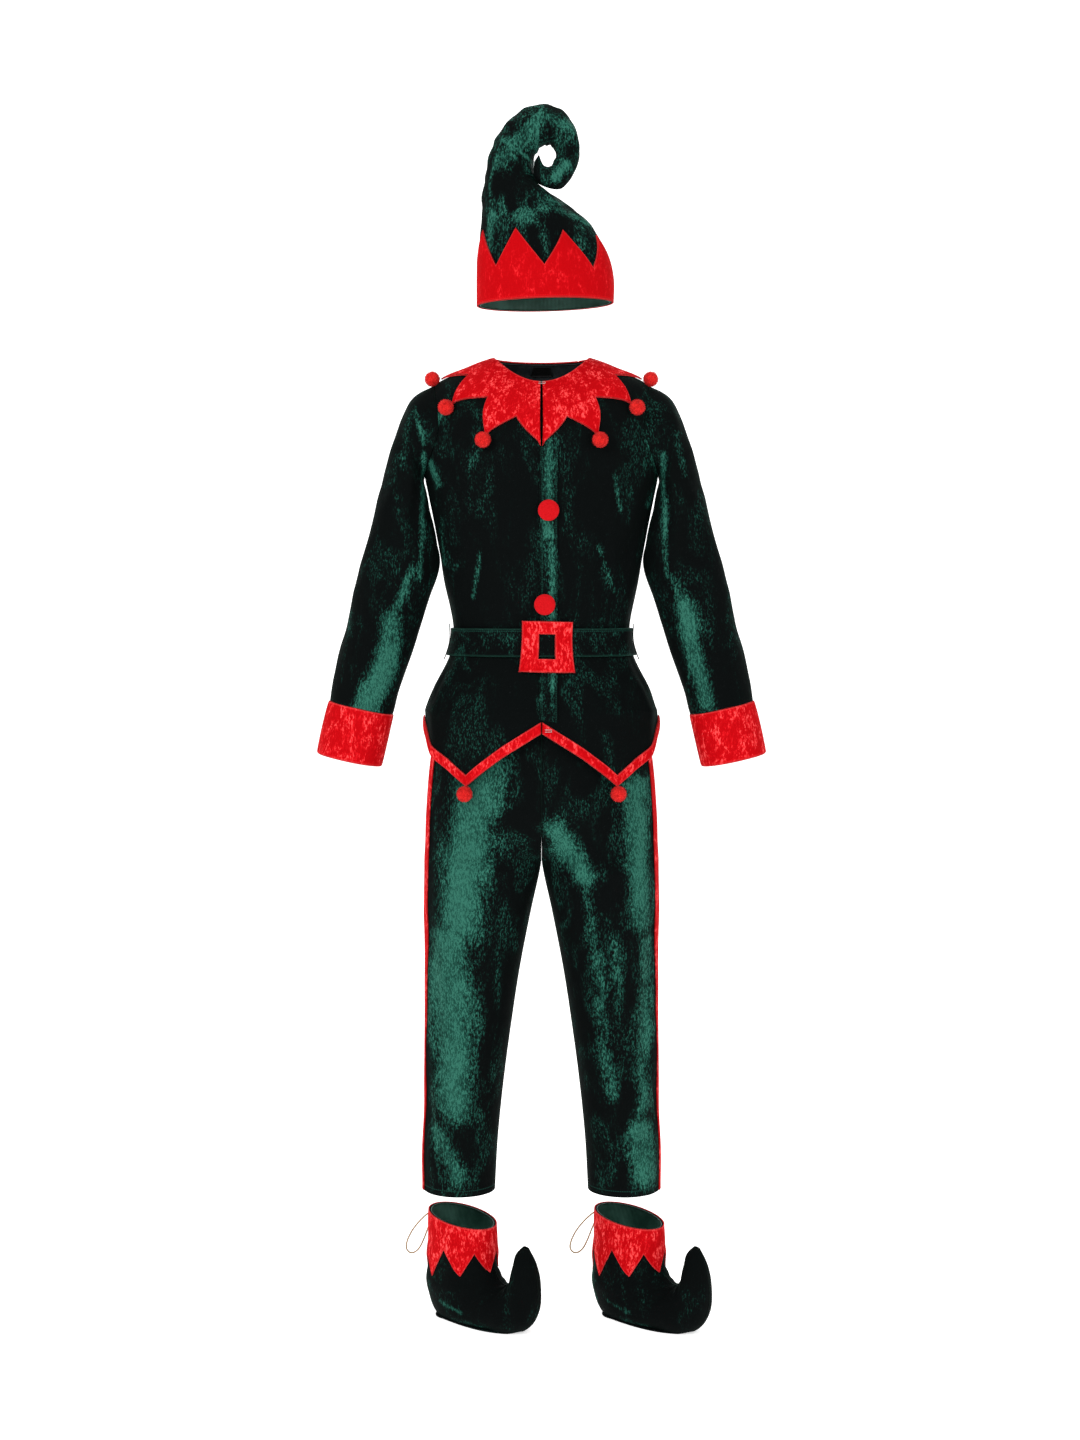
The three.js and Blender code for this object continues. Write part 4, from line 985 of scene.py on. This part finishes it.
class COSTUME_OT_sleeves(bpy.types.Operator):
    """Adds the two sleeves and their red cuffs."""

    bl_idname = "costume.sleeves"
    bl_label = "Sleeves and cuffs"

    def execute(self, context):
        for name, side in SIDES.items():
            cloth_wall(f"sleeve_{name}", sleeve, all_round(SLEEVE_START, LAST_SLEEVE), 130, 96, -CLOTH, 0,
                "green", closed=True, side=side, patches=PATCHES["sleeve"])
            cloth_wall(f"cuff_{name}", cuff, all_round(CUFF_START, 1), 26, 96, -CLOTH, CUFF_LIFT, "red_trim",
                closed=True, side=side, light=0.3, puff=(1.4, 0.5))
        return {"FINISHED"}


COLLAR = table("turn reach", (0, 2.84), (15, 1.6), (27, 2.72), (38, 1.36), (52, 2.14), (67, 1.18),
    (84, 1.74), (101, 1.15), (120, 1.9), (135, 1.3), (150, 2.25), (165, 1.4), (180, 2.45))
COLLAR_SLIT_TOP, COLLAR_SLIT, COLLAR_EDGE_CURVE = 1.5, 0.5, 0.78
COLLAR_LIFT, COLLAR_UNDER, COLLAR_START = 2.4, 1.2, 0.01


def collar_place(u, v):
    """Round the neck from the slit: the reach falls from each point by a power of the way to the valley."""
    last = len(COLLAR["turn"]) - 1
    step = v * 2 * last
    half = np.where(step <= last, step, 2 * last - step)
    slit = mix(COLLAR_SLIT_TOP, COLLAR_SLIT, u)
    turn = np.maximum(np.interp(half, np.arange(last + 1), COLLAR["turn"]), slit)
    tip = np.round(half / 2) * 2
    valley = np.clip(tip + np.where(half < tip, -1, 1), 0, last)
    at_tip, at_valley = COLLAR["reach"][tip.astype(int)], COLLAR["reach"][valley.astype(int)]
    reach = mix(at_tip, at_valley, np.abs(half - tip) ** COLLAR_EDGE_CURVE)
    return np.where(step <= last, turn, 360 - turn), mix(COLLAR_START, reach, u)


class COSTUME_OT_collar(bpy.types.Operator):
    """Adds the jester collar, a little fuller between its edges."""

    bl_idname = "costume.collar"
    bl_label = "Jester collar"

    def execute(self, context):
        cloth_wall("collar", torso, collar_place, 30, 24 * 9, COLLAR_LIFT - COLLAR_UNDER,
            COLLAR_LIFT + TRIM, "red_trim", light=0.3,
            puff=(1.6, 0.5))
        return {"FINISHED"}


# Pompoms

# Each collar pompom's corner of the collar, and how far its centre stands off the jacket.
POMPOM_REST = [(2, 13.8), (4, 13.6), (6, 11.6), (8, 12.3), (10, 13.3), (12, 13.3)]
PAST_POINT, HEM_REST, HEM_DROP = 0.17, 6.5, 11.8


def pompom_places():
    """The centre of each pompom by name: just past the collar's points, and under the hem's."""
    places = {}
    for number, (corner, rest) in enumerate(POMPOM_REST, 1):
        turn, reach = COLLAR["turn"][corner], COLLAR["reach"][corner]
        point = torso(turn, reach + PAST_POINT, rest)
        sides = SIDES if turn < 180 else {"middle": 1}
        places.update({f"pompom_collar_{number}_{n}": point * (s, 1, 1) for n, s in sides.items()})
    for where, turn in (("front", 39), ("back", 141)):
        point = torso(turn, HEM_ROW, HEM_REST) - (0, 0, HEM_DROP)
        places.update({f"pompom_hem_{where}_{n}": point * (s, 1, 1) for n, s in SIDES.items()})
    return places


def sphere_points(count):
    """Points spread evenly over a unit sphere along a golden spiral."""
    k = np.arange(count) + 0.5
    z, turn = 1 - 2 * k / count, k * math.pi * (1 + math.sqrt(5))
    ring = np.sqrt(1 - z * z)
    return np.stack([ring * np.cos(turn), ring * np.sin(turn), z], -1)


class COSTUME_OT_pompoms(bpy.types.Operator):
    """Adds the fifteen pompoms: packed balls with loose yarn ends that stand out all round."""

    bl_idname = "costume.pompoms"
    bl_label = "Pompoms"

    def execute(self, context):
        sizes = context.scene.costume_sizes
        radius, fuzz = sizes.pompom_radius / MM, sizes.pompom_fuzz / MM
        chance = np.random.default_rng(7)
        for name, centre in pompom_places().items():
            core, quads = self.core(radius, chance)
            ends, end_quads = self.yarn_ends(radius, fuzz, chance)
            points = np.concatenate([core, ends]) + centre
            piece = mesh_object(f"{name}_yarn", points, np.concatenate([quads, end_quads + len(core)]))
            dress(piece, name, "yarn")
        return {"FINISHED"}

    def core(self, radius, chance):
        """A ball on a grid of turns and rows, its radius roughened by chance, drawn in to its poles."""
        rows, columns = 20, 28
        tilt = np.linspace(0.02, math.pi - 0.02, rows + 1)[:, None]
        turn = np.linspace(0, 2 * math.pi, columns + 1)[:-1][None]
        rough = radius + chance.normal(0, radius * 0.025, (rows + 1, columns))
        ball = np.stack([rough * np.sin(tilt) * np.cos(turn), rough * np.sin(tilt) * np.sin(turn),
            rough * np.cos(tilt) + 0 * turn], -1)
        return ball.reshape(-1, 3), grid_quads(rows, columns, True)

    def yarn_ends(self, radius, fuzz, chance):
        """Thin four-sided spikes, each leaning a little away from straight out."""
        out = sphere_points(420)
        lean = out + chance.normal(0, 0.22, out.shape)
        lean /= np.linalg.norm(lean, axis=1, keepdims=True)
        side = np.cross(out, lean + (0.1, 0.2, 0.3))
        side /= np.linalg.norm(side, axis=1, keepdims=True)
        other = np.cross(out, side)
        foot, tip = out * radius * 0.93, out * radius * 0.9 + lean * (
            radius * 0.1 + fuzz * chance.uniform(0.5, 1.0, (len(out), 1)))
        thick = 0.42
        ring = [foot + side * thick, foot + other * thick, foot - side * thick, foot - other * thick]
        top = [tip + side * thick * 0.6, tip + other * thick * 0.6, tip - side * thick * 0.6,
            tip - other * thick * 0.6]
        points = np.stack(ring + top, 1).reshape(-1, 3)
        one = np.array([(0, 1, 5, 4), (1, 2, 6, 5), (2, 3, 7, 6), (3, 0, 4, 7), (4, 5, 6, 7)])
        return points, (one[None] + 8 * np.arange(len(out))[:, None, None]).reshape(-1, 4)


# Front band, trims, buttons and hooks

BAND_WIDE, BAND_LAP, BAND_LIFT = 27.0, 2.0, 1.5
BAND_START, BAND_END = 2.9, 10.3
TRIM_WIDE, TRIM_LIFT, TRIM_UNDER, TRIM_END = 17.0, 1.0, 0.4, 0.4
TRIM_UP, TRIM_DOWN = TRIM_WIDE * 1.15, 0.5
BUTTONS = {"upper": (11, -268), "lower": (6, -427)}
HOOK_HALF, HOOK_APART, HOOK_WIRE = 5.0, 1.8, 0.55


def band_place(u, v):
    """Down the centre front: a strip of even width, from the collar's point to the hem trim."""
    row = mix(BAND_START, BAND_END, u)
    half = row_at(TORSO, np.minimum(row, LAST_TORSO))["half"]
    return np.degrees(mix(-BAND_LAP, BAND_WIDE, v) / half), row


def trim_place(turns):
    """Along the hem, between its edge and a line a trim's width above it."""
    share_at = corner_shares(turns)

    def place(u, v):
        """The row is found for a height mixed between the line and the edge."""
        turn = mix(turns[0] + TRIM_END, turns[-1] - TRIM_END, share_at(v))
        edge = np.interp(folded(turn), HEM["turn"], HEM["reach"])
        return turn, torso_row(turn, mix(edge + TRIM_UP, edge + TRIM_DOWN, u))
    return place


def turned(profile, columns):
    """A profile of radius and height carried round the height's axis."""
    radius, high = np.array(profile, float).T
    turn = np.linspace(0, 2 * math.pi, columns + 1)[:-1]
    points = np.stack([radius[:, None] * np.cos(turn), radius[:, None] * np.sin(turn),
        np.broadcast_to(high[:, None], (len(high), columns))], -1)
    return points, grid_quads(len(profile) - 1, columns, True)


def facing_frame(out):
    """Two directions across the cloth that go with its outward one."""
    out = out / np.linalg.norm(out)
    across = np.cross((0, 0, 1), out)
    across /= np.linalg.norm(across)
    return across, np.cross(out, across), out


class COSTUME_OT_front_trim(bpy.types.Operator):
    """Adds the front band, the hem trims, the covered buttons and the small hooks."""

    bl_idname = "costume.front_trim"
    bl_label = "Band, trims, buttons and hooks"

    def execute(self, context):
        cloth_wall("button_band", torso, band_place, 150, 10, BAND_LIFT, BAND_LIFT + TRIM, "green_band",
            patches=PATCHES["jacket"], light=0.1)
        for name, side in SIDES.items():
            self.trim(f"front_{name}", FRONT_TURNS, 8 * 14, side)
        self.trim("back", BACK_TURNS, 12 * 12, 1)
        for name, (x, z) in BUTTONS.items():
            self.button(f"button_{name}", x, z, context.scene.costume_sizes.button_radius / MM)
        self.hook("hook_below_belt", 3.0, torso_row(3.0, -641), 5.0)
        self.hook("hook_at_neck", 0.0, 0.14, COLLAR_LIFT + TRIM + 0.5)
        return {"FINISHED"}

    def trim(self, part, turns, columns, side):
        """One length of the red trim along the hem of a front or the back, crowned between its edges."""
        cloth_wall(f"hem_trim_{part}", torso, trim_place(turns), 8, columns, TRIM_LIFT - TRIM_UNDER,
            TRIM_LIFT + TRIM, "red_trim", side=side, light=0.35,
            puff=(1.3, 0.7))

    def button(self, name, x, z, radius):
        """A dome of covered felt with a rolled rim, facing as the cloth faces there."""
        turn = math.degrees(math.asin(x / 180))
        row = torso_row(turn, z)
        foot = torso(turn, row, BAND_LIFT + TRIM + 0.7)
        across, up, out = facing_frame(torso(turn, row, 1) - torso(turn, row, 0))
        rim, top, pole = 2.4, 6.0, 0.02
        tilt = np.linspace(0, math.pi / 2, 22)
        dome = np.stack([radius * np.cos(tilt) ** 0.55, rim + (top - rim) * np.sin(tilt)], -1)
        base = [(pole, 0), (radius * 0.8, 0), (radius * 0.95, 0.4), (radius, 1.2), (radius, 2.0)]
        points, quads = turned(base + dome.tolist()[:-1] + [(pole, top)], 56)
        placed = foot + points[..., :1] * across + points[..., 1:2] * up + points[..., 2:] * out
        dress(mesh_object(f"{name}_felt", placed, quads), name, "felt")

    def hook(self, name, turn, row, lift):
        """A small nickel hook: a wire bent back on itself, lying on the cloth."""
        foot = torso(turn, row, lift)
        across, up, out = facing_frame(torso(turn, row, 1) - torso(turn, row, 0))
        t = np.linspace(0, 1, 40)
        bend = np.clip((t - 0.4) / 0.2, 0, 1) * math.pi
        x_way = HOOK_HALF * np.interp(t, [0, 0.4, 0.6, 1], [-1, 1, 1, -1]) + 2 * np.sin(bend)
        line = foot + x_way[:, None] * across - HOOK_APART * np.cos(bend)[:, None] * up
        turn_round = np.linspace(0, 2 * math.pi, 9)[:-1]
        ring = HOOK_WIRE * (np.cos(turn_round)[:, None] * out + np.sin(turn_round)[:, None] * up)
        points = line[:, None] + ring[None]
        dress(mesh_object(name, points, grid_quads(len(t) - 1, len(ring), True)), None, "metal")


# Belt

BELT_LIFT = BAND_LIFT + TRIM + 0.8
BELT_TOP, BELT_BOTTOM = -469.0, -517.0
LOOP_LIFT, LOOP_THICK, LOOP_HALF_TURN, LOOP_PAST = BELT_LIFT + CLOTH + 0.1, 1.4, 1.6, 9.0
BUCKLE_LIFT, BUCKLE_THICK = BELT_LIFT + CLOTH + 1.3, 2.6
BUCKLE = {"x": 9.0, "z": -500.0, "wide": 84.0, "high": 88.0, "hole_wide": 28.0, "hole_high": 44.0,
    "tilt": -1.3}


def belt_place(u, v):
    """All round the waist between two heights."""
    turn = 360 * v
    return turn, torso_row(turn, mix(BELT_TOP, BELT_BOTTOM, u))


def buckle_place(u, v):
    """A frame of four straight sides: from the outer corners in to the window's, tilted a little."""
    corner = np.arange(5)
    x = np.interp(v * 4, corner, [-1, 1, 1, -1, -1]) * mix(BUCKLE["wide"], BUCKLE["hole_wide"], u) / 2
    z = np.interp(v * 4, corner, [-1, -1, 1, 1, -1]) * mix(BUCKLE["high"], BUCKLE["hole_high"], u) / 2
    c, s = cosine(BUCKLE["tilt"]), sine(BUCKLE["tilt"])
    x, z = BUCKLE["x"] + c * x - s * z, BUCKLE["z"] + s * x + c * z
    turn = np.degrees(np.arcsin(x / 158))
    return turn, torso_row(turn, z)


class COSTUME_OT_belt(bpy.types.Operator):
    """Adds the belt, its two side loops and the buckle frame."""

    bl_idname = "costume.belt"
    bl_label = "Belt and buckle"

    def execute(self, context):
        def loop(u, v):
            """A narrow strip down the side seam, from above the belt to below it."""
            z = mix(BELT_TOP + LOOP_PAST, BELT_BOTTOM - LOOP_PAST, u)
            return 90 + LOOP_HALF_TURN * (2 * v - 1), torso_row(90, z)

        cloth_wall("belt", torso, belt_place, 14, 240, BELT_LIFT, BELT_LIFT + CLOTH, "green_belt",
            closed=True, light=0.12)
        for name, side in SIDES.items():
            cloth_wall(f"belt_loop_{name}", torso, loop, 16, 5, LOOP_LIFT, LOOP_LIFT + LOOP_THICK, "green",
                side=side, light=0.2)
        cloth_wall("belt_buckle", torso, buckle_place, 12, 4 * 16, BUCKLE_LIFT, BUCKLE_LIFT + BUCKLE_THICK,
            "red_trim", closed=True, light=0.35, puff=(1.0, 0.6))
        return {"FINISHED"}


# Trousers

class COSTUME_OT_trousers(bpy.types.Operator):
    """Adds the trousers' four panels, waistband and side stripes."""

    bl_idname = "costume.trousers"
    bl_label = "Trousers"

    def execute(self, context):
        def panel(far):
            """A panel from the outer seam round to a far turn."""
            def place(u, v):
                """The turn is mixed between the seam and the far side."""
                row = mix(WAIST_END + 0.01, LAST_TROUSER, u)
                return mix(outer_seam(row) + math.copysign(0.25, far), far, v), row
            return place

        def stripe(u, v):
            """An even width over the outer seam: its turns are arc over the leg's own radius."""
            row = mix(1.6, LAST_TROUSER - 0.02, u)
            section = row_at(TROUSER, row)
            radius = section["front"] * mix(0.62, 1, np.clip(section["leg"], 0, 1))
            return outer_seam(row) + np.degrees(STRIPE_HALF / radius) * (2 * v - 1), row

        for name, side in SIDES.items():
            for where, far, light in (("front", MIDDLE_TURN, 0.0), ("back", -MIDDLE_TURN, 0.1)):
                cloth_wall(f"trouser_{where}_{name}", trouser, panel(far), 200, 52, -CLOTH, 0, "green_hem",
                    side=side, patches=PATCHES["trouser"], light=light)
            cloth_wall(f"side_stripe_{name}", trouser, stripe, 190, 6, STRIPE_LIFT,
                STRIPE_LIFT + STRIPE_THICK, "red_trim", side=side, light=0.3)
        cloth_wall("waistband", waist, lambda u, v: (WAIST_START + 360 * v, WAIST_END * u), 8, 200,
            -CLOTH, 0, "green", closed=True, light=0.1)
        return {"FINISHED"}


# Hat

HAT_TEETH, TOOTH_START, BAND_VALLEY, BAND_PEAK, BAND_EDGE = 8, 22.0, 1.16, 2.42, -0.02
HAT_BAND_LIFT, HAT_SEAM = 2.0, 0.25


class COSTUME_OT_hat(bpy.types.Operator):
    """Adds the hat's two panels, zigzag band and lining."""

    bl_idname = "costume.hat"
    bl_label = "Curled hat"

    def execute(self, context):
        def half(low):
            """Half of the hat, from one seam to the other."""
            def place(u, v):
                """The turn is mixed between its two seams, each left open by the seam's own width."""
                row = LAST_HAT * u
                seam = np.degrees(HAT_SEAM / row_at(HAT, row)["deep"])
                return mix(low + seam, low + 180 - seam, v), row
            return place

        for name, low in (("front", 0), ("back", 180)):
            cloth_wall(f"hat_panel_{name}", hat, half(low), 220, 60, -CLOTH, 0, "green_hat",
                patches=PATCHES["hat"], light=0.12)
        band = zigzag(HAT_TEETH, TOOTH_START, BAND_EDGE, BAND_VALLEY, BAND_PEAK)
        cloth_wall("hat_band", hat, band, 26, HAT_TEETH * 22, HAT_BAND_LIFT - 1, HAT_BAND_LIFT + TRIM,
            "red_plain", closed=True, light=0.2)
        cloth_wall("hat_lining", hat, all_round(0, HAT_LINING_END), 24, 120, -LINING_DEPTH - LINING,
            -LINING_DEPTH, "lining", closed=True)
        return {"FINISHED"}


# Shoe covers

SHOE_TEETH, SHOE_TOOTH_START, SHOE_VALLEY, SHOE_PEAK, SHOE_EDGE = 7, -12.0, 1.12, 2.38, -0.03
SHOE_SEAM = 0.4


def sole_outline(count):
    """The sole's outline: points along four cubic curves, as heel, sides and toe."""
    stops = np.array([(30, -34), (-12, -40), (-12, 40), (30, 34), (88, 44), (136, 42), (166, 22),
        (178, 8), (178, -8), (166, -22), (136, -42), (88, -44), (30, -34)], float)
    t = np.linspace(0, 1, count, endpoint=False)[:, None]
    parts = [(1 - t)**3 * a + 3 * (1 - t)**2 * t * b + 3 * (1 - t) * t**2 * c + t**3 * d
        for a, b, c, d in (stops[k:k + 4] for k in (0, 3, 6, 9))]
    return np.concatenate(parts)


class COSTUME_OT_shoe_covers(bpy.types.Operator):
    """Adds both shoe covers: sides, soles, zigzag cuffs and linings."""

    bl_idname = "costume.shoe_covers"
    bl_label = "Shoe covers"

    def execute(self, context):
        band = zigzag(SHOE_TEETH, SHOE_TOOTH_START, SHOE_EDGE, SHOE_PEAK, SHOE_VALLEY)
        for foot in SHOES:
            for where, low in (("near", 0), ("far", 180)):
                cloth_wall(f"shoe_{foot}_{where}_side", shoe, self.half(low), 120, 44, -CLOTH, 0,
                    "green_shoe", patches=SHOE_PATCHES, light=0.02, foot=foot)
            cloth_wall(f"shoe_{foot}_cuff", shoe, band, 22, SHOE_TEETH * 20, TRIM_LIFT - TRIM_UNDER,
                TRIM_LIFT + TRIM, "red_trim", closed=True, light=0.35, foot=foot)
            cloth_wall(f"shoe_{foot}_lining", shoe, all_round(0, SHOE_LINING_END), 20, 96,
                -LINING_DEPTH - LINING, -LINING_DEPTH, "lining", closed=True, foot=foot)
            self.sole(foot)
        return {"FINISHED"}

    def half(self, low):
        """One side of a shoe cover: half a turn from seam to seam, and every row."""
        return lambda u, v: (mix(low + SHOE_SEAM, low + 180 - SHOE_SEAM, v), LAST_SHOE * u)

    def sole(self, foot):
        """The sole: its outline carried up from the floor with rounded edges, and drawn in to its middle."""
        edge = sole_outline(16)
        middle = edge.mean(0)
        rings = [(0.01, 0.0), (0.6, 0.0), (0.985, 0.0), (1.0, 0.7), (1.0, 2.3), (0.985, 3.0), (0.6, 3.0),
            (0.01, 3.0)]
        points = np.stack([np.concatenate([middle + (edge - middle) * grow,
            np.full((len(edge), 1), high)], 1) for grow, high in rings])
        quads = grid_quads(len(rings) - 1, len(edge), True)
        piece = mesh_object(f"shoe_{foot}_sole_cloth", to_place(points, foot), quads)
        dress(piece, f"shoe_{foot}_sole", "green_shoe")


STEPS = (COSTUME_OT_stage, COSTUME_OT_elastic_loops, COSTUME_OT_jacket_body, COSTUME_OT_sleeves,
    COSTUME_OT_collar, COSTUME_OT_pompoms, COSTUME_OT_front_trim, COSTUME_OT_belt, COSTUME_OT_trousers,
    COSTUME_OT_hat, COSTUME_OT_shoe_covers)


class COSTUME_PT_panel(bpy.types.Panel):
    """Lists the costume's sizes, colours and pieces."""

    bl_idname = "COSTUME_PT_panel"
    bl_label = "Elf costume"
    bl_space_type = "VIEW_3D"
    bl_region_type = "UI"
    bl_category = "Costume"

    def draw(self, context):
        for group in (context.scene.costume_sizes, context.scene.costume_colours):
            for name in group.__annotations__:
                self.layout.prop(group, name)
        for step in STEPS:
            self.layout.operator(step.bl_idname)


CLASSES = (CostumeColours, CostumeSizes, *STEPS, COSTUME_PT_panel)


def register():
    for cls in CLASSES:
        bpy.utils.register_class(cls)
    bpy.types.Scene.costume_colours = bpy.props.PointerProperty(type=CostumeColours)
    bpy.types.Scene.costume_sizes = bpy.props.PointerProperty(type=CostumeSizes)


def unregister():
    del bpy.types.Scene.costume_sizes
    del bpy.types.Scene.costume_colours
    for cls in reversed(CLASSES):
        bpy.utils.unregister_class(cls)


def main():
    """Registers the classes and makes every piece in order."""
    register()
    make_materials()
    for step in STEPS:
        group, name = step.bl_idname.split(".")
        getattr(getattr(bpy.ops, group), name)()


if __name__ == "__main__":
    main()
